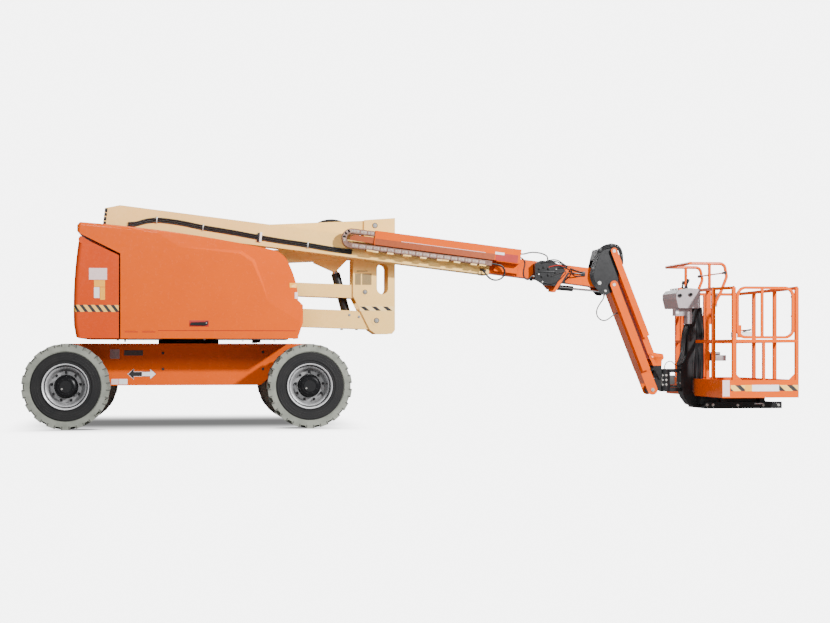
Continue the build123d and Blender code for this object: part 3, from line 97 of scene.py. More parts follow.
def addCamera():
    data = bpy.data.cameras.new("camera")
    data.lens = studio["lens"]
    data.sensor_width = 36.0
    data.shift_y = studio["shiftY"]
    data.clip_end = 200.0
    camera = bpy.data.objects.new("camera", data)
    camera.location = studio["cameraPlace"]
    camera.rotation_euler = (math.radians(90), 0, math.radians(studio["cameraYaw"]))
    bpy.context.collection.objects.link(camera)
    bpy.context.scene.camera = camera


def addSoftBoxes():
    for name, place, target, width, height, watts in softBoxes:
        data = bpy.data.lights.new(name, "AREA")
        data.shape = "RECTANGLE"
        data.size = width
        data.size_y = height
        data.energy = watts
        lamp = bpy.data.objects.new(name, data)
        aim(lamp, place, target)
        bpy.context.collection.objects.link(lamp)


def addWorld():
    # soft even light, seen by the camera as a brighter white
    world = bpy.data.worlds.new("studioWorld")
    world.use_nodes = True
    tree = world.node_tree
    light = tree.nodes["Background"]
    light.inputs["Color"].default_value = (*studio["ambient"], 1)
    light.inputs["Strength"].default_value = studio["ambientStrength"]
    backdrop = tree.nodes.new("ShaderNodeBackground")
    backdrop.inputs["Color"].default_value = (1, 1, 1, 1)
    backdrop.inputs["Strength"].default_value = studio["backdropStrength"]
    path = tree.nodes.new("ShaderNodeLightPath")
    mix = tree.nodes.new("ShaderNodeMixShader")
    tree.links.new(path.outputs["Is Camera Ray"], mix.inputs["Fac"])
    tree.links.new(light.outputs["Background"], mix.inputs[1])
    tree.links.new(backdrop.outputs["Background"], mix.inputs[2])
    tree.links.new(mix.outputs["Shader"], tree.nodes["World Output"].inputs["Surface"])
    bpy.context.scene.world = world


# finishes ---------------------------------------------------------------------

finishes = {
    # two colours, roughness, roughness spread, metallic, coat, noise scale
    "paintOrange": dict(a=(0.74, 0.100, 0.0004), b=(0.71, 0.094, 0.0004),
                        rough=0.24, shine=0.24, bump=0.012, scale=3.0),
    "paintWeight": dict(a=(0.64, 0.066, 0.006), b=(0.60, 0.060, 0.005),
                        rough=0.26, shine=0.24, bump=0.012, scale=3.0),
    # paintShade: the orange paint darkened as it looks in deep shade; painted shade on the hood seams, round the
    # hood handles and at the tube's end; also the colour of the red valve lines
    "paintShade": dict(a=(0.42, 0.010, 0.004), b=(0.34, 0.008, 0.003), rough=0.45, coat=0.1, scale=6.0),
    "paintCream": dict(a=(1.00, 0.650, 0.215), b=(0.96, 0.610, 0.190),
                       rough=0.28, shine=0.3, bump=0.012, scale=3.0),
    "steelBlack": dict(a=(0.007, 0.007, 0.008), b=(0.013, 0.013, 0.014), rough=0.36, shine=0.3, scale=9.0),
    "ironBlack": dict(a=(0.030, 0.029, 0.028), b=(0.055, 0.050, 0.046), rough=0.60, scale=14.0),
    "zincGrey": dict(a=(0.52, 0.51, 0.48), b=(0.40, 0.39, 0.37), rough=0.36, metal=0.85, scale=30.0),
    "chromeRod": dict(a=(0.82, 0.82, 0.83), b=(0.74, 0.74, 0.76), rough=0.12, metal=1.0, scale=25.0),
    "hoseRubber": dict(a=(0.008, 0.008, 0.009), b=(0.014, 0.014, 0.015), rough=0.34, shine=0.5, scale=60.0),
    "hoseGrey": dict(a=(0.045, 0.042, 0.042), b=(0.030, 0.028, 0.028), rough=0.34, shine=0.5, scale=60.0),
    "wallRubber": dict(a=(0.014, 0.014, 0.015), b=(0.022, 0.022, 0.022), rough=0.60, scale=40.0),
    "trackLink": dict(a=(0.24, 0.12, 0.085), b=(0.10, 0.045, 0.035), rough=0.55, scale=26.0),
    "trackPlate": dict(a=(0.52, 0.36, 0.29), b=(0.16, 0.085, 0.070), rough=0.50, scale=70.0),
    "plasticGrey": dict(a=(0.36, 0.32, 0.33), b=(0.30, 0.27, 0.28), rough=0.52, scale=40.0),
    # orange darkened as in shade: the painted shade on the track tube's lower side; also colours the track guide at
    # the bend
    "shadedOrangeBrown": dict(a=(0.34, 0.060, 0.008), b=(0.28, 0.046, 0.006), rough=0.40, scale=30.0),
    "plasticBlack": dict(a=(0.006, 0.006, 0.007), b=(0.010, 0.010, 0.011), rough=0.42, shine=0.3, scale=40.0),
    "coverVinyl": dict(a=(0.006, 0.006, 0.007), b=(0.011, 0.011, 0.012), rough=0.34, shine=0.35, scale=12.0),
    "signalRed": dict(a=(0.75, 0.010, 0.008), b=(0.65, 0.008, 0.006), rough=0.30, coat=0.3, scale=30.0),
    "batteryCase": dict(a=(0.05, 0.055, 0.06), b=(0.07, 0.075, 0.08), rough=0.6, scale=15.0),
    # blank films and plates
    "labelWhite": dict(a=(0.90, 0.88, 0.88), b=(0.82, 0.80, 0.81), rough=0.40, scale=30.0),
    "labelRose": dict(a=(0.86, 0.66, 0.64), b=(0.78, 0.56, 0.55), rough=0.40, scale=60.0),
    "labelYellow": dict(a=(0.98, 0.46, 0.040), b=(0.90, 0.38, 0.030), rough=0.40, scale=60.0),
    "labelCream": dict(a=(1.00, 0.70, 0.28), b=(0.93, 0.62, 0.24), rough=0.45, scale=20.0),
    "labelGrey": dict(a=(0.45, 0.33, 0.32), b=(0.36, 0.25, 0.25), rough=0.40, scale=90.0),
    "labelDark": dict(a=(0.060, 0.050, 0.045), b=(0.110, 0.095, 0.085), rough=0.40, scale=90.0),
    "labelBlack": dict(a=(0.012, 0.012, 0.013), b=(0.020, 0.020, 0.021), rough=0.38, scale=30.0),
    "labelOlive": dict(a=(0.30, 0.21, 0.085), b=(0.20, 0.14, 0.055), rough=0.45, scale=120.0),
}


def startMaterial(name):
    material = bpy.data.materials.new(name)
    material.use_nodes = True
    tree = material.node_tree
    return material, tree, tree.nodes["Principled BSDF"]


def addNode(tree, kind, **values):
    node = tree.nodes.new(kind)
    for key, value in values.items():
        if key in node.inputs:
            node.inputs[key].default_value = value
        else:
            setattr(node, key, value)
    return node


def noiseRamp(tree, place, scale, detail, low, high):
    noise = addNode(tree, "ShaderNodeTexNoise", Scale=scale, Detail=detail, Roughness=0.6)
    tree.links.new(place, noise.inputs["Vector"])
    return addRange(tree, noise.outputs["Fac"], (low, high))


def blendColours(tree, factor, first, second):
    mix = addNode(tree, "ShaderNodeMix", data_type="RGBA")
    for socket, value in (("A", first), ("B", second)):
        target = [s for s in mix.inputs if s.name == socket and s.type == "RGBA"][0]
        if isinstance(value, tuple):
            target.default_value = (*value, 1)
        else:
            tree.links.new(value, target)
    tree.links.new(factor, [s for s in mix.inputs if s.name == "Factor" and s.type == "VALUE"][0])
    return [s for s in mix.outputs if s.type == "RGBA"][0]


def fineBump(tree, place, shader, scale, strength, distance=0.0008):
    noise = addNode(tree, "ShaderNodeTexNoise", Scale=scale, Detail=3.0)
    tree.links.new(place, noise.inputs["Vector"])
    bump = addNode(tree, "ShaderNodeBump", Strength=strength, Distance=distance)
    tree.links.new(noise.outputs["Fac"], bump.inputs["Height"])
    tree.links.new(bump.outputs["Normal"], shader.inputs["Normal"])


def spreadRough(tree, shader, value, rough, spread):
    span = addRange(tree, value, (0.0, 1.0), (max(0.03, rough - spread), min(1.0, rough + spread)))
    tree.links.new(span, shader.inputs["Roughness"])


def makeFinish(name, a, b, rough, scale, coat=0.0, metal=0.0, shine=0.4, bump=0.04, bumpScale=220.0):
    material, tree, shader = startMaterial(name)
    place = addNode(tree, "ShaderNodeTexCoord").outputs["Object"]
    broad = noiseRamp(tree, place, scale, 4.0, 0.35, 0.68)
    grain = noiseRamp(tree, place, scale * 9.0, 3.0, 0.3, 0.7)
    tree.links.new(blendColours(tree, broad, a, b), shader.inputs["Base Color"])
    shader.inputs["Metallic"].default_value = metal
    shader.inputs["Specular IOR Level"].default_value = shine
    shader.inputs["Coat Weight"].default_value = coat
    shader.inputs["Coat Roughness"].default_value = 0.12
    spreadRough(tree, shader, grain, rough, 0.06)
    fineBump(tree, place, shader, bumpScale, bump)
    return material


def addMath(tree, operation, *values):
    node = addNode(tree, "ShaderNodeMath", operation=operation)
    for socket, value in zip(node.inputs, values):
        if isinstance(value, (int, float)):
            socket.default_value = value
        else:
            tree.links.new(value, socket)
    return node.outputs[0]


def splitPlace(tree, place):
    parts = addNode(tree, "ShaderNodeSeparateXYZ")
    tree.links.new(place, parts.inputs["Vector"])
    return parts.outputs


def addRange(tree, value, ends, results=(0.0, 1.0), smooth=False):
    span = addNode(tree, "ShaderNodeMapRange", interpolation_type="SMOOTHSTEP" if smooth else "LINEAR")
    span.inputs["From Min"].default_value, span.inputs["From Max"].default_value = ends
    span.inputs["To Min"].default_value, span.inputs["To Max"].default_value = results
    tree.links.new(value, span.inputs["Value"])
    return span.outputs["Result"]


def wheelPlane(tree, place):
    # forward of the nearest axle and above its centre
    parts = splitPlace(tree, place)
    alongX = addMath(tree, "SUBTRACT", addMath(tree, "ABSOLUTE", parts["X"]), tyre["axleX"])
    return alongX, addMath(tree, "SUBTRACT", parts["Z"], tyre["radius"])


def radialMask(tree, place, from_, to):
    # 0 inside and 1 outside a circle round the nearest axle
    alongX, upZ = wheelPlane(tree, place)
    flat = addNode(tree, "ShaderNodeCombineXYZ")
    tree.links.new(alongX, flat.inputs["X"])
    tree.links.new(upZ, flat.inputs["Z"])
    reach = addNode(tree, "ShaderNodeVectorMath", operation="LENGTH")
    tree.links.new(flat.outputs[0], reach.inputs[0])
    return addRange(tree, reach.outputs["Value"], (from_, to))


def lugGapShade(tree, place):
    # 1 on narrow lines round the tread where one lug ends and the next begins: painted shade of the gaps between
    # lugs
    turn = addMath(tree, "ARCTAN2", *wheelPlane(tree, place))
    count = addMath(tree, "MULTIPLY_ADD", turn, tyre["lines"] / math.tau, 0.5 + tyre["lineShare"] / 2)
    thin = addMath(tree, "LESS_THAN", addMath(tree, "FRACT", count), tyre["lineShare"])
    return addMath(tree, "MULTIPLY", thin, radialMask(tree, place, tyre["lineInner"], tyre["lineInner"] + 0.004))


def makeTyreRubber():
    # pale non-marking tread over a black sidewall band, with painted shade in the gaps between lugs
    material, tree, shader = startMaterial("tyreRubber")
    place = addNode(tree, "ShaderNodeTexCoord").outputs["Object"]
    edge = radialMask(tree, place, tyre["bandRadius"] - 0.003, tyre["bandRadius"] + 0.003)
    dust = noiseRamp(tree, place, 9.0, 5.0, 0.35, 0.7)
    pale = blendColours(tree, dust, tyre["treadPale"], tyre["treadDusty"])
    dark = blendColours(tree, dust, tyre["wallBlack"], tyre["wallDusty"])
    gapShaded = blendColours(tree, lugGapShade(tree, place), pale, tyre["treadGapShade"])
    tree.links.new(blendColours(tree, edge, dark, gapShaded), shader.inputs["Base Color"])
    shader.inputs["Specular IOR Level"].default_value = 0.2
    spreadRough(tree, shader, dust, 0.72, 0.08)
    fineBump(tree, place, shader, 140.0, 0.25)
    return material


def makeRimPaint():
    # black hub, grey disc, two bright rings with a dark line of painted groove shade between them, dark lip
    material, tree, shader = startMaterial("rimPaint")
    place = addNode(tree, "ShaderNodeTexCoord").outputs["Object"]
    dust = noiseRamp(tree, place, 16.0, 5.0, 0.32, 0.7)
    disc = blendColours(tree, dust, rim["disc"], rim["discDusty"])
    ring = blendColours(tree, dust, rim["ring"], rim["ringDusty"])
    colour = rim["hub"]
    for radius, outer in zip(rim["bands"], (disc, ring, rim["line"], ring, rim["lip"])):
        edge = radialMask(tree, place, radius - 0.001, radius + 0.001)
        colour = blendColours(tree, edge, colour, outer)
    tree.links.new(colour, shader.inputs["Base Color"])
    bare = radialMask(tree, place, rim["bands"][0], rim["bands"][0] + 0.002)
    painted = radialMask(tree, place, rim["bands"][-1], rim["bands"][-1] + 0.002)
    metal = addMath(tree, "MULTIPLY", addMath(tree, "SUBTRACT", bare, painted), rim["bare"])
    tree.links.new(metal, shader.inputs["Metallic"])
    shader.inputs["Specular IOR Level"].default_value = 0.2
    spreadRough(tree, shader, dust, 0.34, 0.08)
    fineBump(tree, place, shader, 90.0, 0.1)
    return material


def makeHazard(name, ground, bar, pitch, share, weights):
    # slanted bars: weights say how fast the pattern runs along x, y and z
    material, tree, shader = startMaterial(name)
    place = addNode(tree, "ShaderNodeTexCoord").outputs["Object"]
    along = addNode(tree, "ShaderNodeVectorMath", operation="DOT_PRODUCT")
    tree.links.new(place, along.inputs[0])
    along.inputs[1].default_value = tuple(weight / pitch for weight in weights)
    bars = addMath(tree, "LESS_THAN", addMath(tree, "FRACT", along.outputs["Value"]), share)
    worn = noiseRamp(tree, place, 40.0, 4.0, 0.3, 0.75)
    paler = blendColours(tree, worn, ground, tuple(c * 0.9 for c in ground))
    darker = blendColours(tree, worn, bar, tuple(c * 1.8 for c in bar))
    tree.links.new(blendColours(tree, bars, paler, darker), shader.inputs["Base Color"])
    spreadRough(tree, shader, worn, 0.42, 0.05)
    return material


hazards = {
    "hazardWeight": dict(ground=(0.95, 0.52, 0.11), bar=(0.015, 0.015, 0.015), pitch=0.074, share=0.48,
                         weights=(1.0, -1.0, 0.75)),
    "hazardToe": dict(ground=(1.0, 0.60, 0.14), bar=(0.015, 0.015, 0.015), pitch=0.140, share=0.42,
                      weights=(1.0, 0.0, 1.1)),
}
rim = {
    "hub": (0.006, 0.006, 0.007),
    # painted shade of the groove between the two bright rings
    "line": (0.05, 0.05, 0.05),
    "lip": (0.016, 0.016, 0.017),
    "bands": (0.116, 0.188, 0.202, 0.209, 0.224),
    "bare": 0.5,
    "disc": (0.42, 0.42, 0.43),
    "discDusty": (0.28, 0.28, 0.28),
    "ring": (0.86, 0.86, 0.87),
    "ringDusty": (0.74, 0.74, 0.75),
}
tyre = {
    "axleX": 1.185,
    "radius": 0.42,
    "bandRadius": 0.338,
    "treadPale": (0.27, 0.28, 0.24),
    "treadDusty": (0.19, 0.20, 0.17),
    # painted shade of the gaps between lugs
    "treadGapShade": (0.10, 0.10, 0.09),
    "lines": 36,
    "lineShare": 0.20,
    "lineInner": 0.384,
    "wallBlack": (0.013, 0.013, 0.014),
    "wallDusty": (0.022, 0.021, 0.021),
}

nodeFinish = {
    # finish: CAD nodes
    "paintOrange": ("chassis_frame", "tie_down_lugs", "turntable_frame", "hood_right", "hood_left", "fly_boom",
                    "track_tube", "jib_beam", "jib_link", "platform_floor", "platform_rails", "gate",
                    "guard_hoops"),
    "paintWeight": ("counterweight",),
    "paintCream": ("lower_boom", "lower_link", "front_upright", "mid_boom", "mid_link", "rear_upright",
                   "main_boom"),
    "steelBlack": ("drive_axle", "steer_axle", "riser_cylinder_barrel", "lift_cylinder_barrel", "valve_block",
                   "jib_bracket", "level_cylinder_barrel", "jib_tip", "rotator", "platform_support"),
    "ironBlack": ("slew_ring", "knuckle_right", "knuckle_left"),
    "chromeRod": ("riser_cylinder_stage", "riser_cylinder_rod", "lift_cylinder_rod", "level_cylinder_rod"),
    "trackLink": ("track_lower_run", "track_bend"),
    "batteryCase": ("battery_pack",),
    "plasticGrey": ("control_console",),
    "plasticBlack": ("boom_rest",),
    "coverVinyl": ("console_cover",),
    "hoseRubber": ("boom_hoses",),
}


def makeFinishes():
    made = {name: makeFinish(name, **values) for name, values in finishes.items()}
    made.update({name: makeHazard(name, **values) for name, values in hazards.items()})
    made["tyreRubber"] = makeTyreRubber()
    made["rimPaint"] = makeRimPaint()
    return made


def finishNodes():
    kinds = {name: kind for kind, names in nodeFinish.items() for name in names}
    for name, item in nodes.items():
        kind = kinds.get(name, "hoseRubber")
        if name.startswith("tyre_"):
            kind = "tyreRubber"
        if name.startswith("rim_"):
            kind = "rimPaint"
        item.data.materials.clear()
        item.data.materials.append(finish[kind])


def addFloor():
    reach = studio["floorHalf"]
    mesh = bpy.data.meshes.new("studioFloor")
    mesh.from_pydata([(-reach, -reach, 0), (reach, -reach, 0), (reach, reach, 0), (-reach, reach, 0)],
                     [], [(0, 1, 2, 3)])
    floor = bpy.data.objects.new("studioFloor", mesh)
    bpy.context.collection.objects.link(floor)
    material, tree, shader = startMaterial("floorPale")
    place = addNode(tree, "ShaderNodeTexCoord").outputs["Object"]
    parts = splitPlace(tree, place)
    bright = studio["backdropStrength"]
    # seen: even white with a painted soft shade, from ambient occlusion, where the machine stands close over it
    cover = addNode(tree, "ShaderNodeAmbientOcclusion", samples=24, Distance=studio["shadeReach"])
    share = addRange(tree, cover.outputs["AO"], studio["shadeOpen"])
    share = addMath(tree, "POWER", share, studio["shadeCurve"])
    shade = addRange(tree, share, (0.0, 1.0), (studio["shadeStrength"], bright))
    # a wide soft painted shadow under the whole chassis, set by its place on the floor
    across = addMath(tree, "SUBTRACT", parts["Y"], studio["shadeMiddle"])
    covers = [addRange(tree, addMath(tree, "ABSOLUTE", value), ends, (1.0, 0.0), True)
              for value, ends in ((parts["X"], studio["shadeEnds"]), (across, studio["shadeDepth"]))]
    clear = addRange(tree, addMath(tree, "MULTIPLY", *covers), (0.0, 1.0), (1.0, 1.0 - studio["shadeShare"]))
    wide = addMath(tree, "MULTIPLY", addMath(tree, "POWER", clear, studio["shadeCurve"]), bright)
    # the close shade ends where the wide one does
    beyond = addRange(tree, covers[0], (0.0, 1.0), (bright, 0.0))
    glow = addNode(tree, "ShaderNodeEmission")
    tree.links.new(addMath(tree, "MINIMUM", addMath(tree, "MAXIMUM", shade, beyond), wide), glow.inputs["Strength"])
    # thrown: a dim diffuse floor, so that little light comes back up
    cloud = noiseRamp(tree, place, 0.6, 3.0, 0.2, 0.8)
    thrown = studio["floorThrown"]
    dim = blendColours(tree, cloud, (thrown, thrown, thrown), (thrown * 0.97, thrown * 0.97, thrown * 0.97))
    matt = addNode(tree, "ShaderNodeBsdfDiffuse")
    tree.links.new(dim, matt.inputs["Color"])
    path = addNode(tree, "ShaderNodeLightPath")
    mix = addNode(tree, "ShaderNodeMixShader")
    tree.links.new(path.outputs["Is Camera Ray"], mix.inputs["Fac"])
    tree.links.new(matt.outputs["BSDF"], mix.inputs[1])
    tree.links.new(glow.outputs["Emission"], mix.inputs[2])
    tree.links.new(mix.outputs["Shader"], tree.nodes["Material Output"].inputs["Surface"])
    tree.nodes.remove(shader)
    mesh.materials.append(material)


addCamera()
addWorld()
addSoftBoxes()
addFloor()
print("studio ready")
finish = makeFinishes()
finishNodes()
print("CAD nodes finished")


# shape helpers ----------------------------------------------------------------

def addBox(shape, low, high, bevel=0.0, turn=None):
    made = bmesh.ops.create_cube(shape, size=1.0)["verts"]
    middle = [(a + b) / 2 for a, b in zip(low, high)]
    size = [b - a for a, b in zip(low, high)]
    for vert in made:
        spot = Vector([c * s for c, s in zip(vert.co, size)])
        if turn:
            spot.rotate(Euler(turn))
        vert.co = spot + Vector(middle)
    if bevel:
        edges = list({edge for vert in made for edge in vert.link_edges})
        bmesh.ops.bevel(shape, geom=edges, offset=bevel, segments=2, profile=0.6, affect="EDGES")


def addRod(shape, start, end, radius, sides=20, tip=None):
    start, end = Vector(start), Vector(end)
    place = (end - start).to_track_quat("Z", "Y").to_matrix().to_4x4()
    place.translation = (start + end) / 2
    bmesh.ops.create_cone(shape, cap_ends=True, segments=sides, radius1=radius,
                          radius2=radius if tip is None else tip, depth=(end - start).length, matrix=place)


def addPrism(shape, outline, lowY, highY):
    # side-view outline of (x, z) points, pushed along Y
    near = [shape.verts.new((x, lowY, z)) for x, z in outline]
    far = [shape.verts.new((x, highY, z)) for x, z in outline]
    shape.faces.new(near)
    shape.faces.new(far[::-1])
    for i in range(len(outline)):
        j = (i + 1) % len(outline)
        shape.faces.new((near[j], near[i], far[i], far[j]))


def addRing(shape, centre, axis, radius, thickness, sides=48):
    # torus about an axis through the centre
    axis = Vector(axis).normalized()
    across = axis.orthogonal().normalized()
    place = Matrix((across, axis, across.cross(axis))).transposed().to_4x4()
    place.translation = Vector(centre) + across * radius
    made = bmesh.ops.create_circle(shape, segments=8, radius=thickness, matrix=place)["verts"]
    edges = list({edge for vert in made for edge in vert.link_edges})
    bmesh.ops.spin(shape, geom=made + edges, cent=centre, axis=axis, angle=math.tau, steps=sides, use_merge=True)


def addBolt(shape, place, normal, head=0.012, height=0.008):
    place, normal = Vector(place), Vector(normal).normalized()
    addRod(shape, place, place + normal * 0.002, head * 1.3, 16)
    addRod(shape, place + normal * 0.002, place + normal * (0.002 + height), head, 6)


def roundLine(name, points, radius, bevelSteps, steps):
    line = bpy.data.curves.new(name, "CURVE")
    line.dimensions = "3D"
    line.bevel_depth = radius
    line.bevel_resolution = bevelSteps
    line.use_fill_caps = True
    spline = line.splines.new("NURBS")
    spline.points.add(len(points) - 1)
    for point, place in zip(spline.points, points):
        point.co = (*place, 1.0)
    spline.order_u = 3
    spline.use_endpoint_u = True
    spline.resolution_u = steps
    return line


def addTube(shape, points, radius):
    # smooth round line that stays fastened along its length
    line = roundLine("line", points, radius, 2, 6)
    guide = bpy.data.objects.new("line", line)
    mesh = bpy.data.meshes.new_from_object(guide)
    shape.from_mesh(mesh)
    bpy.data.objects.remove(guide)
    bpy.data.meshes.remove(mesh)
    bpy.data.curves.remove(line)


def placePiece(name, shape, body, kind, sharpAbove=35.0):
    bmesh.ops.recalc_face_normals(shape, faces=shape.faces)
    mesh = bpy.data.meshes.new(name)
    shape.to_mesh(mesh)
    shape.free()
    mesh.shade_smooth()
    mesh.set_sharp_from_angle(angle=math.radians(sharpAbove))
    mesh.materials.append(finish[kind])
    piece = bpy.data.objects.new(name, mesh)
    bpy.context.collection.objects.link(piece)
    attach(piece, body)
    return piece


def placeBox(name, body, kind, low, high, bevel=0.0):
    shape = bmesh.new()
    addBox(shape, low, high, bevel)
    placePiece(name, shape, body, kind)


def placeDecal(name, body, kind, node, *where):
    shape = bmesh.new()
    addDecal(shape, node, *where)
    placePiece(name, shape, body, kind)


def addDecal(shape, node, low, high, facing, lift=0.0012):
    # the part of a CAD node's skin inside a box, raised a little: a film that follows its curves
    skin = bmesh.new()
    skin.from_mesh(nodes[node].data)
    for axis in range(3):
        for bound, side in ((low[axis], -1), (high[axis], 1)):
            point, normal = Vector(), Vector()
            point[axis] = bound
            normal[axis] = side
            bmesh.ops.bisect_plane(skin, geom=skin.verts[:] + skin.edges[:] + skin.faces[:],
                                   plane_co=point, plane_no=normal, clear_outer=True)
    hidden = [face for face in skin.faces if max(face.normal.dot(Vector(way)) for way in facing) < 0.35]
    bmesh.ops.delete(skin, geom=hidden, context="FACES")
    bmesh.ops.remove_doubles(skin, verts=skin.verts, dist=0.0002)
    skin.normal_update()
    for vert in skin.verts:
        vert.co += vert.normal * lift
    mesh = bpy.data.meshes.new("film")
    skin.to_mesh(mesh)
    skin.free()
    shape.from_mesh(mesh)
    bpy.data.meshes.remove(mesh)


def boomPoint(u, w, y):
    turn = math.radians(boom["angle"])
    return (boom["rear"][0] + u * math.cos(turn) - w * math.sin(turn), y,
            boom["rear"][1] + u * math.sin(turn) + w * math.cos(turn))


boom = {"rear": (-0.853, 2.1585), "angle": -6.7, "nearY": -0.310}


# wheels -----------------------------------------------------------------------

wheel = {
    "studCircle": 0.139, "studs": 9, "studHead": 0.010, "discY": 0.9445,
    "hubY": 1.0225, "hubStuds": 8, "hubStudCircle": 0.074,
    "wallRings": (0.318, 0.292, 0.268), "wallY": 1.0432,
}
wheels = [
    # body, node suffix, axle x, side
    ("steer_wheel_right", "steer_right", -1.185, -1), ("steer_wheel_left", "steer_left", -1.185, 1),
    ("drive_wheel_right", "drive_right", 1.185, -1), ("drive_wheel_left", "drive_left", 1.185, 1),
]


def dressWheels():
    for body, name, axleX, side in wheels:
        out = (0, side, 0)
        studs = bmesh.new()
        for i in range(wheel["studs"]):
            turn = math.tau * (i + 0.25) / wheel["studs"]
            spot = (axleX + wheel["studCircle"] * math.cos(turn), side * wheel["discY"],
                    tyre["radius"] + wheel["studCircle"] * math.sin(turn))
            addBolt(studs, spot, out, wheel["studHead"], 0.016)
            addRod(studs, spot, (spot[0], spot[1] + side * 0.026, spot[2]), 0.007, 12)
        placePiece("wheelStuds_" + name, studs, body, "steelBlack")
        hub = bmesh.new()
        centre = Vector((axleX, side * wheel["hubY"], tyre["radius"]))
        addRod(hub, centre, centre + Vector(out) * 0.006, 0.058, 32)
        for i in range(wheel["hubStuds"]):
            turn = math.tau * (i + 0.5) / wheel["hubStuds"]
            reach = Vector((math.cos(turn), 0, math.sin(turn))) * wheel["hubStudCircle"]
            addBolt(hub, centre + reach - Vector(out) * 0.0015, out, 0.0065, 0.005)
        placePiece("hubCover_" + name, hub, body, "plasticBlack")
        plug = bmesh.new()
        spot = centre + Vector((-0.035, 0, -0.022))
        addRod(plug, spot, spot + Vector(out) * 0.0075, 0.010, 16)
        placePiece("hubPlug_" + name, plug, body, "zincGrey")
        walls = bmesh.new()
        for radius in wheel["wallRings"]:
            addRing(walls, (axleX, side * wheel["wallY"], tyre["radius"]), out, radius, 0.0016, 72)
        placePiece("wallRings_" + name, walls, body, "wallRubber")
        valve = bmesh.new()
        addRod(valve, (axleX + 0.168, side * 0.955, tyre["radius"] + 0.02),
               (axleX + 0.176, side * 0.995, tyre["radius"] + 0.022), 0.005, 12)
        placePiece("tyreValve_" + name, valve, body, "hoseRubber")


# chassis ----------------------------------------------------------------------

chassis = {
    "faceY": -0.5, "film": 0.0015,
    "boltPlaces": ((-0.259, 0.747), (-0.259, 0.585), (0.749, 0.757), (0.749, 0.584)),
    "arrowMiddle": (-0.468, 0.535), "arrowHalf": 0.050, "arrowReach": 0.137, "arrowNeck": 0.021, "arrowHead": 0.055,
}
chassisPlates = [
    # name, finish, x low, x high, z low, z high
    ("plateGrey", "labelGrey", -0.785, -0.690, 0.690, 0.785),
    ("plateDark", "labelDark", -0.647, -0.458, 0.722, 0.775),
    ("plateLowRose", "labelRose", -0.772, -0.700, 0.430, 0.486),
    ("plateLowWhite", "labelWhite", -0.695, -0.612, 0.430, 0.486),
]


def arrowOutline(side, grow=0.0):
    x, z = chassis["arrowMiddle"]
    neck, half = chassis["arrowNeck"] + grow, chassis["arrowHalf"] + grow * 1.4
    tip = chassis["arrowReach"] + grow * 1.6
    head = tip - chassis["arrowHead"] - grow * 2.0
    steps = [(0, -neck), (head, -neck), (head, -half), (tip, 0), (head, half), (head, neck), (0, neck)]
    return [(x + side * a, z + b) for a, b in steps]


def dressChassis():
    for side in (-1, 1):
        face = side * abs(chassis["faceY"])
        name = "right" if side < 0 else "left"
        bolts = bmesh.new()
        for x, z in chassis["boltPlaces"]:
            addBolt(bolts, (x, face, z), (0, side, 0), 0.011, 0.007)
        placePiece("chassisBolts_" + name, bolts, "chassis", "ironBlack")
        ends = sorted((face, face + side * chassis["film"]))
        for plate, kind, xLow, xHigh, zLow, zHigh in chassisPlates:
            placeBox(plate + "_" + name, "chassis", kind, (xLow, ends[0], zLow), (xHigh, ends[1], zHigh))
        for way, kind in ((-1, "labelBlack"), (1, "labelWhite")):
            arrow = bmesh.new()
            addPrism(arrow, arrowOutline(way), *sorted((face, face + side * 0.0022)))
            placePiece(("arrowBlack_" if way < 0 else "arrowWhite_") + name, arrow, "chassis", kind)
            edge = bmesh.new()
            addPrism(edge, arrowOutline(way, 0.004), *sorted((face, face + side * 0.0012)))
            placePiece(("arrowEdgePale_" if way < 0 else "arrowEdgeDark_") + name, edge, "chassis",
                       "labelWhite" if way < 0 else "labelDark")
    ring = bmesh.new()
    for i in range(28):
        turn = math.tau * i / 28
        addBolt(ring, (0.272 * math.cos(turn), 0.272 * math.sin(turn), 0.842), (0, 0, -1), 0.010, 0.008)
    placePiece("slewRingBolts", ring, "chassis", "zincGrey")
    axles = bmesh.new()
    for x in (-1.185, 1.185):
        for side in (-1, 1):
            for step in (-0.045, 0.045):
                addBolt(axles, (x + step, side * 0.42, 0.5205 if x < 0 else 0.5705), (0, 0, 1), 0.011, 0.009)
    placePiece("axleBolts", axles, "chassis", "zincGrey")


# turntable, hoods and counterweight -------------------------------------------

weight = {"bandLow": 1.147, "bandHigh": 1.215}
weightPlates = [
    # name, finish, x low, x high, z low, z high
    ("weightPlateTop", "labelRose", -0.962, -0.790, 1.460, 1.573),
    ("weightPlateAmber", "labelYellow", -0.914, -0.809, 1.391, 1.456),
    ("weightPlateWhite", "labelWhite", -0.914, -0.862, 1.282, 1.387),
    ("weightPlateLowAmber", "labelYellow", -0.856, -0.809, 1.265, 1.387),
]
hood = {
    "faceY": 1.030, "handleX": (0.008, 0.184), "handleZ": (1.013, 1.062),
    "lampZ": (1.395, 1.442), "glassZ": (1.285, 1.350),
}


# painted shade: a dark line under the hood's lower step and two dark slots
hoodSeamShades = [
    # x low, x high, z low, z high
    (-0.301, 1.040, 0.9660, 0.9705), (-0.621, -0.493, 0.9500, 0.9570), (-0.455, -0.326, 0.9500, 0.9570),
]


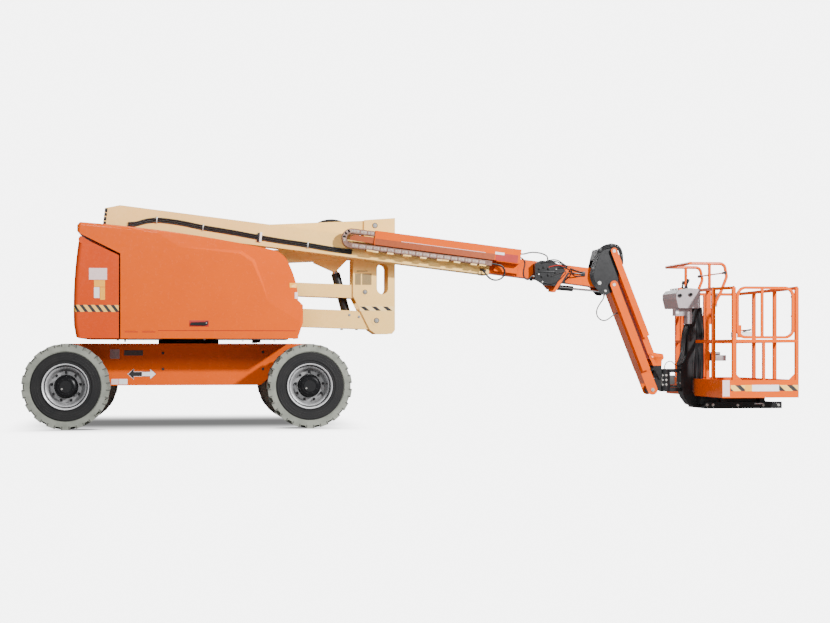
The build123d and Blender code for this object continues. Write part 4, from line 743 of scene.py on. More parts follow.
def dressTurntable():
    placeDecal("weightHazardBand", "turntable", "hazardWeight", "counterweight", (-1.2, -1.1, weight["bandLow"]),
               (-0.679, 1.1, weight["bandHigh"]), ((0, -1, 0), (0, 1, 0), (-1, 0, 0)))
    for side, name in ((-1, "right"), (1, "left")):
        way = (0, side, 0)
        reach = sorted((side * 0.9, side * 1.1))
        for plate, kind, xLow, xHigh, zLow, zHigh in weightPlates:
            placeDecal(plate + "_" + name, "turntable", kind, "counterweight", (xLow, reach[0], zLow),
                       (xHigh, reach[1], zHigh), (way,), 0.0015)
        cover = "hood_" + name
        for film, kind, xLow, (zLow, zHigh) in (("hoodReflector_", "labelYellow", 0.985, hood["lampZ"]),
                                                ("hoodFilm_", "labelRose", 1.035, hood["glassZ"])):
            placeDecal(film + name, cover, kind, cover, (xLow, reach[0], zLow), (1.2, reach[1], zHigh),
                       (way, (1, 0, 0)), 0.002)
        seamShade = bmesh.new()
        for xLow, xHigh, zLow, zHigh in hoodSeamShades:
            addDecal(seamShade, "hood_" + name, (xLow, reach[0], zLow), (xHigh, reach[1], zHigh), (way,), 0.001)
        placePiece("hoodSeamShade_" + name, seamShade, "hood_" + name, "paintShade")
        dressHoodHandle(side, name)
    stops = bmesh.new()
    for side in (-1, 1):
        addBox(stops, (0.678, side * 0.36 - 0.05, 0.852), (0.729, side * 0.36 + 0.05, 0.8845), 0.003)
        addRod(stops, (-0.688, side * 0.985, 0.868), (-0.688, side * 0.985, 0.892), 0.010, 12)
    placePiece("deckStops", stops, "turntable", "ironBlack")
    bolts = bmesh.new()
    for x in (-0.30, 0.15, 0.60, 0.95):
        for side in (-1, 1):
            addBolt(bolts, (x, side * 0.90, 0.8845), (0, 0, -1), 0.011, 0.008)
    for i in range(24):
        turn = math.tau * i / 24
        addBolt(bolts, (0.345 * math.cos(turn), 0.345 * math.sin(turn), 0.9103), (0, 0, 1), 0.011, 0.009)
    placePiece("deckBolts", bolts, "turntable", "zincGrey")


def dressHoodHandle(side, name):
    (xLow, xHigh), (zLow, zHigh) = hood["handleX"], hood["handleZ"]
    face = side * hood["faceY"]
    # painted shade: a frame of the hood's orange as in shade round the handle
    frame = bmesh.new()
    addBox(frame, (xLow - 0.006, min(face, face + side * 0.0015), zLow - 0.006),
           (xHigh + 0.006, max(face, face + side * 0.0015), zHigh + 0.006), 0.0005)
    placePiece("handleShadeFrame_" + name, frame, "hood_" + name, "paintShade")
    grip = bmesh.new()
    outline = [(xLow, zLow + 0.008), (xLow + 0.012, zHigh - 0.014), (xHigh - 0.030, zHigh - 0.010),
               (xHigh - 0.012, zHigh), (xHigh, zHigh - 0.006), (xHigh - 0.006, zLow + 0.012),
               (xHigh - 0.030, zLow + 0.004)]
    addPrism(grip, outline, *sorted((face, face + side * 0.010)))
    placePiece("handleGrip_" + name, grip, "hood_" + name, "plasticBlack")
    button = bmesh.new()
    addRod(button, (xHigh - 0.016, face + side * 0.010, zHigh - 0.020),
           (xHigh - 0.016, face + side * 0.013, zHigh - 0.020), 0.007, 16)
    placePiece("handleLock_" + name, button, "hood_" + name, "zincGrey")


# riser ------------------------------------------------------------------------

upright = {"nearY": -0.050, "barZ": (1.196, 1.240), "barsX": (1.800, 2.162), "bars": 3}
pins = [
    # x, z, head radius, plate radius
    (1.975, 1.092, 0.022, 0.052), (1.852, 1.394, 0.018, 0.042),
    (1.959, 2.101, 0.022, 0.0), (1.919, 1.841, 0.018, 0.042),
]
uprightPlates = [
    # name, finish, x low, x high, z low, z high
    ("uprightPlateNarrow", "labelOlive", 1.746, 1.808, 1.470, 1.590),
    ("uprightPlateWide", "labelOlive", 1.822, 1.922, 1.470, 1.590),
    ("uprightPlateLine", "labelDark", 1.762, 1.880, 1.612, 1.620),
]


def dressRiser():
    caps, plates, rings = bmesh.new(), bmesh.new(), bmesh.new()
    for x, z, head, ring in pins:
        addRod(rings, (x, upright["nearY"] - 0.003, z), (x, upright["nearY"] - 0.0045, z), head + 0.007, 32)
        y = upright["nearY"] - 0.004
        addRod(caps, (x, y, z), (x, y - 0.006, z), head, 24)
        addBolt(caps, (x, y - 0.006, z), (0, -1, 0), head * 0.45, 0.005)
        if ring:
            addRod(plates, (x, upright["nearY"], z), (x, upright["nearY"] - 0.003, z), ring, 40)
        farY = 0.292
        addRod(caps, (x, farY + 0.004, z), (x, farY + 0.010, z), head, 24)
        addBolt(caps, (x, farY + 0.010, z), (0, 1, 0), head * 0.45, 0.005)
    placePiece("uprightPinCaps", caps, "front_upright", "zincGrey")
    placePiece("uprightPinPlates", plates, "front_upright", "paintCream")
    placePiece("uprightPinRings", rings, "front_upright", "ironBlack")
    bars = bmesh.new()
    xLow, xHigh = upright["barsX"]
    zLow, zHigh = upright["barZ"]
    pitch = (xHigh - xLow) / upright["bars"]
    for i in range(upright["bars"]):
        x = xLow + pitch * i
        addPrism(bars, [(x, zHigh), (x + pitch * 0.42, zHigh), (x + pitch * 0.86, zLow), (x + pitch * 0.44, zLow)],
                 upright["nearY"] - 0.002, upright["nearY"])
    placePiece("uprightHazardBars", bars, "front_upright", "labelBlack")
    near = upright["nearY"]
    placeBox("uprightHazardGround", "front_upright", "labelCream", (xLow - 0.006, near - 0.001, zLow - 0.006),
             (xHigh + 0.006, near, zHigh + 0.006))
    for name, kind, low, high, foot, head in uprightPlates:
        placeBox(name, "front_upright", kind, (low, near - 0.0012, foot), (high, near, head))
    arm = bmesh.new()
    for x, z in ((1.688, 1.150), (1.790, 1.131)):
        addBolt(arm, (x, -0.030, z), (0, -1, 0), 0.011, 0.007)
        addBolt(arm, (x, 0.272, z), (0, 1, 0), 0.011, 0.007)
    for x in (1.62, 1.78):
        addRod(arm, (x, 0.121, 1.004), (x, 0.121, 0.992), 0.016, 12)
    placePiece("lowerBoomBolts", arm, "lower_boom", "zincGrey")


# main boom --------------------------------------------------------------------

clamps = [
    # finish, distance along the boom, middle above its centre line, half height, half length
    ("zincGrey", 0.533, 0.012, 0.034, 0.006), ("zincGrey", 1.006, -0.006, 0.033, 0.005),
    ("plasticBlack", 1.578, -0.033, 0.046, 0.010), ("labelWhite", 1.602, -0.028, 0.050, 0.011),
    ("zincGrey", 2.096, -0.046, 0.033, 0.006),
]
tailPads = ((0.045, 0.020), (0.002, 0.016), (-0.042, 0.018), (-0.084, 0.014))


def boomBox(shape, u, w, halfLength, halfHeight, nearY, farY, bevel=0.0):
    # box squared to the boom
    x, y, z = boomPoint(u, w, (nearY + farY) / 2)
    half = (farY - nearY) / 2
    addBox(shape, (x - halfLength, y - half, z - halfHeight), (x + halfLength, y + half, z + halfHeight),
           bevel, (0, math.radians(-boom["angle"]), 0))


def dressMainBoom():
    for number, (kind, u, w, halfHeight, halfLength) in enumerate(clamps):
        clamp = bmesh.new()
        boomBox(clamp, u, w, halfLength, halfHeight, boom["nearY"] - 0.0185, boom["nearY"], 0.002)
        placePiece("hoseClamp%d" % number, clamp, "main_boom", kind)
    pads = bmesh.new()
    for w, half in tailPads:
        boomBox(pads, 0.016, w, 0.013, half, boom["nearY"] - 0.003, boom["nearY"] + 0.002, 0.001)
        boomBox(pads, 0.016, w, 0.013, half, -0.072, -0.067, 0.001)
    placePiece("boomTailPads", pads, "main_boom", "plasticBlack")
    front = bmesh.new()
    for y in (-0.275, -0.190, -0.105):
        for w in (-0.1155, 0.1155):
            boomBox(front, 3.985, w, 0.022, 0.004, y - 0.022, y + 0.022, 0.0015)
    for u in (3.94, 3.99):
        for w in (-0.075, 0.075):
            addBolt(front, boomPoint(u, w, boom["nearY"]), (0, -1, 0), 0.009, 0.006)
            addBolt(front, boomPoint(u, w, -0.070), (0, 1, 0), 0.009, 0.006)
    placePiece("slidePadBolts", front, "main_boom", "ironBlack")
    pivot = bmesh.new()
    for y, way in ((-0.250, -1), (-0.130, 1)):
        addRod(pivot, (-0.745, y, 1.978), (-0.745, y + way * 0.008, 1.978), 0.030, 24)
        addBolt(pivot, (-0.745, y + way * 0.008, 1.978), (0, way, 0), 0.012, 0.008)
    placePiece("boomPivotCaps", pivot, "main_boom", "zincGrey")


# hose carrier -----------------------------------------------------------------

track = {
    "faceY": -0.425, "plate": 0.0022, "pitch": 0.075, "bendU": 2.530, "bendW": 0.075, "bendRadius": 0.075,
    "tubeY": -0.433, "lowEnd": 4.020, "upperEnd": 4.310, "halfLink": 0.031, "halfHeight": 0.016,
    "tabs": (2.79, 2.95, 3.12, 3.30, 3.48, 3.66, 3.84), "bendLinks": (104, 133, 162, 190),
}


# painted shade on the tube's lower side and where it ends, a painted highlight line along it, and a white plate
tubeFilms = [
    # name, finish, u low, u high, w low, w high, lift
    ("tubePaintedShade", "shadedOrangeBrown", 2.775, 4.050, 0.037, 0.102, 0.0010),
    ("tubePaintedHighlight", "labelWhite", 3.050, 3.950, 0.1015, 0.1045, 0.0016),
    ("tubeEndPaintedShade", "paintShade", 4.060, 4.300, 0.037, 0.117, 0.0010),
    ("tubePlate", "labelWhite", 4.050, 4.150, 0.100, 0.125, 0.0018),
]


def addLink(shape, heads, u, w, turn, y):
    # one side plate with a pin head at each end, squared to the run at that place
    x, _, z = boomPoint(u, w, y)
    half = track["halfLink"]
    addBox(shape, (x - half, y - track["plate"], z - track["halfHeight"]), (x + half, y, z + track["halfHeight"]),
           0.0008, (0, turn, 0))
    along = Vector((math.cos(-turn), 0, math.sin(-turn)))
    for step in (-0.019, 0.019):
        spot = Vector((x, y - track["plate"] + 0.0002, z)) + along * step
        addRod(heads, spot, spot + Vector((0, -0.0004, 0)), 0.0075, 12)


def dressTrack():
    slope = math.radians(-boom["angle"])
    for body, uEnd, w in (("main_boom", track["lowEnd"], 0.0), ("track_bend", track["upperEnd"], 0.150)):
        plates, heads = bmesh.new(), bmesh.new()
        u = track["bendU"] + track["pitch"] * 0.6
        while u + track["halfLink"] < uEnd:
            addLink(plates, heads, u, w, slope, track["faceY"])
            u += track["pitch"]
        if body == "track_bend":
            for degrees in track["bendLinks"]:
                turn = math.radians(degrees)
                u = track["bendU"] + track["bendRadius"] * math.cos(turn)
                w = track["bendW"] + track["bendRadius"] * math.sin(turn)
                addLink(plates, heads, u, w, slope - turn - math.radians(90), track["faceY"])
        placePiece(body + "TrackPlates", plates, body, "trackPlate")
        placePiece(body + "TrackPins", heads, body, "zincGrey")
    tabs = bmesh.new()
    for u in track["tabs"]:
        boomBox(tabs, u, -0.034, 0.034, 0.008, -0.421, -0.338, 0.002)
    placePiece("trackTabs", tabs, "main_boom", "labelCream")
    guide = bmesh.new()
    addPrism(guide, [boomPoint(*spot, 0)[::2] for spot in
                     ((2.515, 0.052), (2.760, 0.046), (2.775, 0.112), (2.560, 0.112), (2.512, 0.085))],
             -0.4205, -0.4175)
    placePiece("trackGuide", guide, "track_bend", "shadedOrangeBrown")
    # films on the tube's side: painted shade, a painted highlight and a plate
    for name, kind, uLow, uHigh, wLow, wHigh, lift in tubeFilms:
        film = bmesh.new()
        boomBox(film, (uLow + uHigh) / 2, (wLow + wHigh) / 2, (uHigh - uLow) / 2, (wHigh - wLow) / 2,
                track["tubeY"] - lift, track["tubeY"])
        placePiece(name, film, "fly", kind)


# fly section and valve --------------------------------------------------------

valveLines = [
    # radius, route of (x, z, y): fastened along the valve and the fly section's side
    (0.007, ((3.740, 1.716, -0.352), (3.800, 1.738, -0.350), (3.880, 1.735, -0.345), (3.950, 1.690, -0.330),
             (4.020, 1.650, -0.305), (4.100, 1.622, -0.299), (4.155, 1.606, -0.299))),
    (0.007, ((3.690, 1.700, -0.384), (3.780, 1.722, -0.388), (3.880, 1.712, -0.386), (3.960, 1.650, -0.360),
             (4.030, 1.600, -0.312), (4.100, 1.596, -0.299), (4.155, 1.590, -0.299))),
    (0.006, ((3.900, 1.690, -0.386), (3.985, 1.668, -0.386), (4.030, 1.615, -0.372), (4.010, 1.560, -0.350),
             (3.975, 1.530, -0.320), (3.960, 1.510, -0.297))),
    (0.006, ((3.850, 1.640, -0.388), (3.920, 1.662, -0.396), (3.985, 1.640, -0.392), (4.040, 1.575, -0.350),
             (4.090, 1.560, -0.300), (4.155, 1.574, -0.298))),
    (0.005, ((3.660, 1.580, -0.386), (3.620, 1.600, -0.370), (3.600, 1.570, -0.340), (3.600, 1.530, -0.296))),
    (0.005, ((3.700, 1.500, -0.386), (3.780, 1.470, -0.392), (3.860, 1.500, -0.390), (3.930, 1.560, -0.388),
             (3.960, 1.600, -0.384))),
]


def dressFly():
    lines = bmesh.new()
    for radius, route in valveLines:
        addTube(lines, [(x, y, z) for x, z, y in route], radius)
    placePiece("valveLines", lines, "fly", "hoseRubber")
    grey = bmesh.new()
    addTube(grey, [(3.735, -0.372, 1.690), (3.820, -0.392, 1.716), (3.920, -0.388, 1.700), (3.990, -0.372, 1.640)],
            0.005)
    addTube(grey, [(3.800, -0.386, 1.560), (3.880, -0.394, 1.600), (3.960, -0.392, 1.610)], 0.005)
    placePiece("valveLinesGrey", grey, "fly", "hoseGrey")
    red = bmesh.new()
    addTube(red, [(3.770, -0.386, 1.655), (3.850, -0.392, 1.680), (3.930, -0.391, 1.668), (3.990, -0.380, 1.625)],
            0.0045)
    placePiece("valveLinesRed", red, "fly", "paintShade")
    block = bmesh.new()
    addBox(block, (4.150, -0.304, 1.566), (4.190, -0.290, 1.616), 0.002)
    addBox(block, (3.585, -0.303, 1.512), (3.615, -0.290, 1.548), 0.002)
    addBox(block, (3.948, -0.303, 1.492), (3.974, -0.290, 1.524), 0.002)
    for x, z in ((3.672, 1.640), (3.722, 1.655), (3.772, 1.640), (3.700, 1.560), (3.770, 1.575), (3.850, 1.600)):
        addRod(block, (x, -0.3805, z), (x, -0.389, z), 0.016, 16)
        addBolt(block, (x, -0.389, z), (0, -1, 0), 0.009, 0.006)
    addBox(block, (3.660, -0.386, 1.600), (3.860, -0.3802, 1.612), 0.001)
    placePiece("valveFittings", block, "fly", "plasticBlack")
    nuts = bmesh.new()
    for x, z in ((3.900, 1.690), (3.852, 1.638), (3.662, 1.580), (3.702, 1.500)):
        addRod(nuts, (x, -0.3802, z), (x, -0.391, z), 0.009, 6)
    addRod(nuts, boomPoint(4.640, 0.102, -0.346), boomPoint(4.640, 0.116, -0.346), 0.011, 6)
    addRod(nuts, boomPoint(4.502, -0.072, -0.358), boomPoint(4.514, -0.072, -0.358), 0.011, 6)
    placePiece("valveNuts", nuts, "fly", "zincGrey")
    ends = bmesh.new()
    for w in (0.140, 0.100):
        y = -0.385 if w > 0.12 else -0.400
        addRod(ends, boomPoint(4.3285, w, y), boomPoint(4.3345, w, y), 0.013, 6)
    placePiece("tubeOutlets", ends, "fly", "zincGrey")


# levelling bracket and jib ----------------------------------------------------

jib = {"foot": (4.497, 1.477), "linkFoot": (4.497, 1.837), "angle": -68.5, "nearY": -0.312, "farY": -0.068,
       "cheekNear": -0.341, "cheekFar": -0.039, "cheekPlate": 0.007, "cheekLength": 0.980, "spacers": (0.53, 0.93)}
bracketPins = (
    # x, z, head radius
    (4.343, 1.495, 0.020), (4.409, 1.410, 0.013), (4.497, 1.477, 0.018), (4.497, 1.837, 0.018),
)
archRoute = ((4.300, 1.470), (4.246, 1.540), (4.268, 1.660), (4.318, 1.800), (4.372, 1.872), (4.460, 1.898),
             (4.550, 1.886), (4.590, 1.800), (4.583, 1.690))


def jibPoint(foot, u, w):
    turn = math.radians(jib["angle"])
    return (foot[0] + u * math.cos(turn) - w * math.sin(turn), foot[1] + u * math.sin(turn) + w * math.cos(turn))


cheeks = [
    # name, body, foot, half width, arm's own near and far faces
    ("jibLinkCheek", "jib_link", "linkFoot", 0.035, -0.274, -0.106),
    ("jibBeamCheek", "jib_beam", "foot", 0.043, -0.292, -0.088),
]


def dressJibCheeks():
    for name, body, foot, half, nearFace, farFace in cheeks:
        cheek, caps = bmesh.new(), bmesh.new()
        outline = [jibPoint(jib[foot], jib["cheekLength"], -half), jibPoint(jib[foot], jib["cheekLength"], half)]
        for i in range(13):
            turn = math.radians(90 + 15 * i)
            outline.append(jibPoint(jib[foot], half * math.cos(turn), half * math.sin(turn)))
        x, z = jib[foot]
        for way, inner, face in ((-1, jib["cheekNear"], nearFace), (1, jib["cheekFar"], farFace)):
            outer = inner + way * jib["cheekPlate"]
            addPrism(cheek, outline, *sorted((inner, outer)))
            for u in jib["spacers"]:
                spacer = [jibPoint(jib[foot], u + du, dw) for du, dw in ((-0.03, -0.02), (0.03, -0.02),
                                                                         (0.03, 0.02), (-0.03, 0.02))]
                addPrism(cheek, spacer, *sorted((inner + way * 0.001, face)))
            addRod(caps, (x, outer - way * 0.001, z), (x, outer + way * 0.003, z), 0.017, 24)
        placePiece(name, cheek, body, "paintOrange")
        placePiece(name + "Caps", caps, body, "zincGrey")


def dressJib():
    caps = bmesh.new()
    for x, z, head in bracketPins:
        for y, way in ((jib["nearY"] - 0.005, -1), (jib["farY"] + 0.005, 1)):
            addRod(caps, (x, y, z), (x, y + way * 0.003, z), head, 24)
            addBolt(caps, (x, y + way * 0.003, z), (0, way, 0), head * 0.5, 0.004)
    placePiece("bracketPinCaps", caps, "jib_bracket", "zincGrey")
    arch = bmesh.new()
    for shift, radius in ((0.0, 0.0085), (-0.017, 0.0085), (0.016, 0.007)):
        middle = (4.42, 1.64)
        route = []
        for x, z in archRoute:
            away = Vector((x - middle[0], z - middle[1])).normalized() * shift
            route.append((x + away.x, jib["nearY"] - 0.010, z + away.y))
        addTube(arch, route, radius)
    placePiece("bracketHoseArch", arch, "jib_bracket", "hoseRubber")
    clips = bmesh.new()
    for x, z in ((4.262, 1.640), (4.345, 1.843), (4.470, 1.897), (4.585, 1.780)):
        addBox(clips, (x - 0.016, jib["nearY"] - 0.0225, z - 0.022), (x + 0.016, jib["nearY"] - 0.001, z + 0.022),
               0.002)
    placePiece("bracketHoseClips", clips, "jib_bracket", "plasticBlack")
    nuts = bmesh.new()
    addRod(nuts, (4.396, -0.306, 1.3675), (4.396, -0.306, 1.352), 0.011, 6)
    placePiece("loopHoseNut", nuts, "jib_bracket", "zincGrey")
    spine = bmesh.new()
    addTube(spine, [(x, -0.190, z) for x, z in (jibPoint(jib["linkFoot"], u, 0.0425)
                                                for u in (0.09, 0.35, 0.60, 0.85, 1.06))], 0.0065)
    for u in (0.16, 0.46, 0.76, 1.02):
        x, z = jibPoint(jib["linkFoot"], u, 0.0425)
        addBox(spine, (x - 0.007, -0.202, z - 0.012), (x + 0.007, -0.178, z + 0.012), 0.001,
               (0, math.radians(-jib["angle"] - 90), 0))
    placePiece("jibLinkHose", spine, "jib_link", "hoseRubber")
    beam = bmesh.new()
    for y, way in ((-0.290, -1), (-0.090, 1)):
        x, z = jibPoint(jib["foot"], 1.211, 0)
        addRod(beam, (x, y + way * 0.004, z), (x, y + way * 0.007, z), 0.020, 24)
        addBolt(beam, (x, y + way * 0.007, z), (0, way, 0), 0.010, 0.005)
    placePiece("jibBeamPinCaps", beam, "jib_beam", "zincGrey")


def dressRotator():
    placeDecal("jibTipWing", "jib_tip", "paintOrange", "jib_tip", (4.88, -0.32, 0.610), (5.06, -0.06, 0.76),
               ((0, -1, 0), (0, 1, 0), (1, 0, 0), (0, 0, 1)), 0.001)
    body = bmesh.new()
    addBox(body, (5.010, -0.262, 0.400), (5.060, -0.118, 0.500), 0.004)
    addRod(body, (5.150, -0.190, 0.385), (5.245, -0.190, 0.385), 0.012, 16)
    addBox(body, (5.150, -0.235, 0.405), (5.205, -0.215, 0.505), 0.003)
    placePiece("rotatorValve", body, "jib_tip", "ironBlack")
    bright = bmesh.new()
    for z in (0.405, 0.455, 0.505):
        addRod(bright, (5.060, -0.262, z), (5.060, -0.274, z), 0.010, 6)
        addBolt(bright, (5.105, -0.2520, z), (0, -1, 0), 0.010, 0.006)
    addRod(bright, (5.155, -0.205, 0.492), (5.235, -0.205, 0.492), 0.008, 12)
    addRod(bright, (5.155, -0.205, 0.430), (5.215, -0.205, 0.430), 0.007, 12)
    placePiece("rotatorFittings", bright, "jib_tip", "zincGrey")


# platform ---------------------------------------------------------------------

toeFilms = [
    # name, finish, x low, x high, z low, z high, lift
    ("toeTape", "hazardToe", 5.515, 6.250, 0.354, 0.416, 0.0012),
    ("toePlateAmber", "labelYellow", 5.670, 5.746, 0.352, 0.418, 0.0020),
    ("toePlateWhite", "labelWhite", 5.746, 6.038, 0.352, 0.418, 0.0020),
]
sticks = [
    # x, y, lean, height
    (5.300, -0.330, 0.26, 0.095), (5.345, -0.060, 0.20, 0.085),
]


def dressPlatformFloor():
    for name, kind, xLow, xHigh, zLow, zHigh, lift in toeFilms:
        for side, where in ((-1, "near"), (1, "far")):
            ends = sorted((side * 1.2, side * 0.6))
            placeDecal(name + "_" + where, "platform", kind, "platform_floor", (xLow, ends[0], zLow),
                       (xHigh, ends[1], zHigh), ((0, side, 0),), lift)
    placeDecal("cornerPlate", "platform", "labelRose", "platform_floor", (5.430, -1.2, 0.300),
               (5.505, -0.72, 0.466), ((-0.6, -0.8, 0),), 0.0015)
    grip = bmesh.new()
    step = 0.062
    for i in range(12):
        for j in range(28):
            x = 5.490 + step * i + (0.031 if j % 2 else 0.0)
            y = -1.045 + step * j
            if x < 6.22 and abs(y + 0.190) < 0.86:
                addBox(grip, (x - 0.016, y - 0.003, 0.3000), (x + 0.016, y + 0.003, 0.3022), 0.0, (0, 0, 0.7))
    placePiece("deckTread", grip, "platform", "zincGrey")


def dressGate():
    bits = bmesh.new()
    addBox(bits, (5.650, -1.1045, 0.972), (5.742, -1.0925, 0.990), 0.003, (0, -0.16, 0))
    placePiece("gateHandle", bits, "gate", "plasticBlack")
    placeBox("gatePlate", "gate", "labelWhite", (5.640, -1.0885, 0.905), (5.752, -1.0865, 0.968))
    catch = bmesh.new()
    addBox(catch, (5.530, -1.101, 0.905), (5.539, -1.073, 0.960), 0.002)
    addRod(catch, (5.533, -1.100, 0.935), (5.533, -1.1045, 0.935), 0.008, 12)
    placePiece("gateCatch", catch, "platform", "ironBlack")


def dressConsole():
    boots, knobs = bmesh.new(), bmesh.new()
    for x, y, lean, height in sticks:
        top = 1.4405
        addRod(boots, (x, y, top - 0.004), (x + 0.006, y, top + 0.026), 0.030, 20, 0.014)
        end = (x + height * math.sin(lean), y, top + height * math.cos(lean))
        addRod(boots, (x, y, top), end, 0.010, 12)
        addRod(boots, (end[0] - 0.006, y, end[2] - 0.026), (end[0] + 0.004, y, end[2] + 0.010), 0.0155, 16)
    for x, z in ((5.200, 1.362), (5.318, 1.372)):
        addRod(boots, (x, -0.430, z), (x, -0.446, z), 0.019, 16)
        addBox(boots, (x - 0.024, -0.446, z - 0.010), (x + 0.010, -0.440, z + 0.016), 0.002)
    for i in range(6):
        y = -0.250 + 0.052 * i
        addRod(boots, (5.245, y, 1.425), (5.240, y, 1.452), 0.007, 12)
    addBox(boots, (5.206, -0.425, 1.2305), (5.312, -0.362, 1.2575), 0.003)
    placePiece("consoleSticks", boots, "platform", "plasticBlack")
    addRod(knobs, (5.215, -0.390, 1.4265), (5.210, -0.390, 1.446), 0.019, 20)
    placePiece("stopButton", knobs, "platform", "signalRed")
    collar = bmesh.new()
    addRod(collar, (5.2155, -0.390, 1.4225), (5.2125, -0.390, 1.432), 0.026, 20)
    placePiece("stopButtonCollar", collar, "platform", "labelYellow")
    placeBox("consolePlate", "platform", "labelWhite", (5.1785, -0.3615, 1.170), (5.210, -0.3600, 1.206))
    panel = bmesh.new()
    outline = [(5.1598, 1.386), (5.1945, 1.4263), (5.1955, 1.4255), (5.1608, 1.3852)]
    addPrism(panel, outline, -0.400, 0.020)
    placePiece("consolePanel", panel, "platform", "labelDark")


def dressPlatformSide():
    cover = bmesh.new()
    for number, y in enumerate((-0.262, -0.236, -0.144, -0.118)):
        sway = 0.010 * (-1) ** number
        addTube(cover, [(5.395, y, 1.226), (5.428, y + sway, 1.130), (5.432, y - sway, 0.960),
                        (5.424, y + sway, 0.820), (5.412, y, 0.700), (5.404, y, 0.600), (5.404, y, 0.480)], 0.0085)
    for number, y in enumerate((-0.252, -0.224, -0.196, -0.168, -0.140)):
        addTube(cover, [(5.352, y, 1.059), (5.330, y, 1.000), (5.318, y + 0.006, 0.900), (5.312, y, 0.790),
                        (5.292, y - 0.006, 0.700), (5.262, y, 0.620)], 0.0080)
    placePiece("coverFolds", cover, "platform", "hoseRubber")
    drape = bmesh.new()
    for number, x in enumerate((5.455, 5.480, 5.508, 5.535)):
        sway = 0.012 * (-1) ** number
        folds = ((-0.030, sway, 1.240), (-0.012, -sway, 1.120), (0.0, sway, 0.960), (-0.014, 0.0, 0.800),
                 (0.0, -sway, 0.640), (-0.020, sway, 0.455))
        addTube(drape, [(x + dx, -0.190 + dy, z) for dx, dy, z in folds], 0.021)
    placePiece("coverDrape", drape, "platform", "coverVinyl")
    placeBox("supportPan", "platform", "plasticBlack", (5.440, -0.430, 0.200), (6.110, 0.050, 0.286), 0.003)
    placeBox("socketBox", "platform", "plasticGrey", (5.946, 0.640, 1.275), (6.006, 0.692, 1.424), 0.006)
    lid = bmesh.new()
    addBox(lid, (5.951, 0.635, 1.335), (6.001, 0.641, 1.418), 0.002)
    addRod(lid, (5.976, 0.636, 1.305), (5.976, 0.630, 1.305), 0.015, 20)
    placePiece("socketLid", lid, "platform", "plasticBlack")
    front = bmesh.new()
    addBox(front, (5.905, 0.6605, 0.735), (6.040, 0.6612, 0.749))
    addBox(front, (5.935, 0.6560, 0.655), (6.115, 0.6612, 0.722), 0.001)
    placePiece("greyBoxFace", front, "platform", "plasticGrey")
    ends = bmesh.new()
    for y in (-0.575, 0.195):
        way = -1 if y < -0.2 else 1
        addRod(ends, (5.640, y + way * 0.019, 1.600), (5.640, y + way * 0.034, 1.600), 0.017, 16)
        addRod(ends, (5.640, y - way * 0.020, 1.600), (5.640, y - way * 0.050, 1.600), 0.0125, 16)
    placePiece("sensorEnds", ends, "platform", "plasticBlack")
    posts = bmesh.new()
    for x, y in ((5.443, -0.790), (5.443, 0.410), (5.555, -1.087), (6.237, -1.087), (5.555, 0.707), (6.237, 0.707)):
        addRod(posts, (x, y, 1.4355), (x, y, 1.4395), 0.011, 12)
    placePiece("postPlugs", posts, "platform", "plasticBlack")
    arms = bmesh.new()
    for x, z in ((5.487, 0.190), (5.554, 0.190), (5.830, 0.186), (6.120, 0.186), (6.290, 0.186)):
        for y, way in ((-0.470, -1), (0.090, 1)):
            addBolt(arms, (x, y, z), (0, way, 0), 0.012, 0.008)
    for z in (0.42, 0.54):
        for y in (-0.240, -0.140):
            addBolt(arms, (5.2680, y, z), (-1, 0, 0), 0.010, 0.007)
    placePiece("supportBolts", arms, "platform", "zincGrey")
    placeBox("supportPlate", "platform", "labelWhite", (6.020, -0.4715, 0.196), (6.120, -0.4700, 0.206))
    wire = bmesh.new()
    addTube(wire, [(5.540, -0.556, 1.420), (5.520, -0.560, 1.300), (5.500, -0.562, 1.150), (5.497, -0.562, 1.060)],
            0.005)
    placePiece("hoopWire", wire, "platform", "hoseRubber")


# free hoses -------------------------------------------------------------------

# points along the boom, above its middle line, across: the routes of the CAD hoses
loopRoute = (
    (4.0303, 0.000, -0.382), (4.085, 0.000, -0.382), (4.150, -0.010, -0.380), (4.188, -0.060, -0.378),
    (4.176, -0.126, -0.376), (4.120, -0.168, -0.374), (4.050, -0.168, -0.372), (3.996, -0.128, -0.366),
    (3.962, -0.066, -0.345), (3.962, -0.066, -0.3103),
)
flyUpperRoute = (
    (4.3283, 0.140, -0.385), (4.362, 0.140, -0.385), (4.436, 0.172, -0.380), (4.516, 0.180, -0.370),
    (4.590, 0.174, -0.354), (4.640, 0.150, -0.346), (4.640, 0.1062, -0.346),
)
flyLowerRoute = (
    (4.3283, 0.100, -0.400), (4.346, 0.100, -0.400), (4.388, 0.064, -0.401), (4.384, 0.000, -0.402),
    (4.378, -0.060, -0.402), (4.400, -0.112, -0.399), (4.446, -0.124, -0.388), (4.474, -0.088, -0.366),
    (4.488, -0.072, -0.358), (4.515, -0.072, -0.358),
)
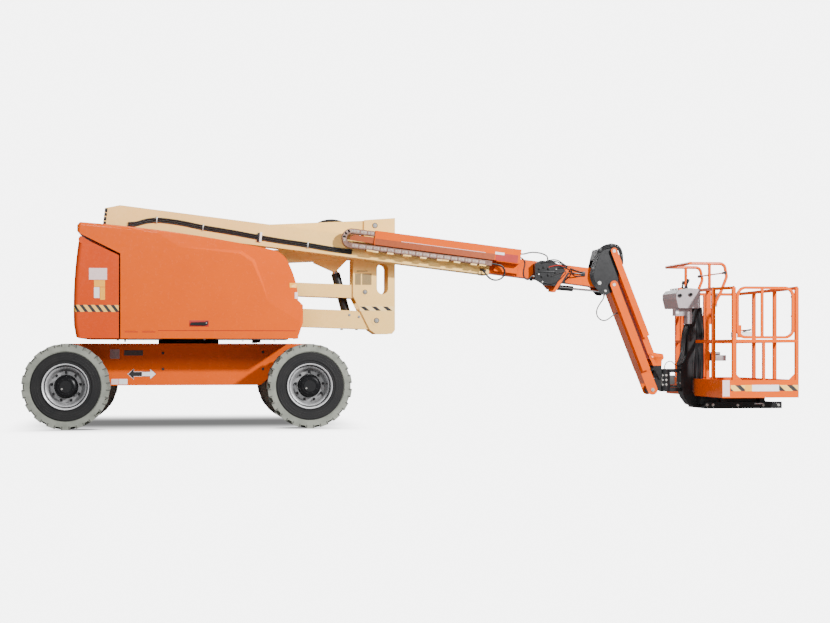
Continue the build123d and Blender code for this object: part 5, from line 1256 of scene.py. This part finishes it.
jibLoopRoute = (
    (4.396, -0.306, 1.3678), (4.396, -0.307, 1.334), (4.350, -0.309, 1.275), (4.312, -0.309, 1.208),
    (4.316, -0.308, 1.142), (4.360, -0.304, 1.098), (4.416, -0.296, 1.092), (4.470, -0.284, 1.124),
    (4.5185, -0.276, 1.163), (4.5554, -0.276, 1.1775),
)
platformRoute = (
    (5.105, -0.190, 0.5753), (5.105, -0.190, 0.616), (5.141, -0.194, 0.656), (5.193, -0.194, 0.656),
    (5.231, -0.190, 0.604), (5.2677, -0.190, 0.604),
)


def layHose(name, node, body, points, diameter, kind):
    line = roundLine(name, points, diameter / 2, 4, 12)
    line.materials.append(finish[kind])
    hoseItem = bpy.data.objects.new(name, line)
    bpy.context.collection.objects.link(hoseItem)
    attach(hoseItem, body)
    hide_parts(node)


def layHoses():
    for name, shift, length in (("track_loop_hose_near", -0.024, 0.575), ("track_loop_hose_far", 0.0, 0.540)):
        points = [boomPoint(u, w, y + (shift if y < -0.345 else 0)) for u, w, y in loopRoute[:-2]]
        points += [boomPoint(u + shift * 1.2, w, y + (shift if y < -0.311 else 0)) for u, w, y in loopRoute[-2:]]
        layHose(name.title().replace("_", ""), name, "main_boom", points, 0.016,
                "hoseRubber" if shift else "hoseGrey")
    layHose("FlyHoseUpper", "fly_hose_upper", "fly", [boomPoint(*p) for p in flyUpperRoute], 0.016,
            "hoseGrey")
    layHose("FlyHoseLower", "fly_hose_lower", "fly", [boomPoint(*p) for p in flyLowerRoute], 0.016,
            "hoseRubber")
    layHose("JibLoopHose", "jib_loop_hose", "jib_bracket", jibLoopRoute, 0.014, "hoseGrey")
    layHose("PlatformHose", "platform_hose", "platform", platformRoute, 0.010, "hoseRubber")


dressWheels()
dressChassis()
print("wheels and chassis dressed")
dressTurntable()
dressRiser()
print("turntable and riser dressed")
dressMainBoom()
dressTrack()
dressFly()
print("boom dressed")
dressJib()
dressJibCheeks()
dressRotator()
print("jib dressed")
dressPlatformFloor()
dressGate()
dressConsole()
dressPlatformSide()
print("platform dressed")
layHoses()
print("hoses laid")
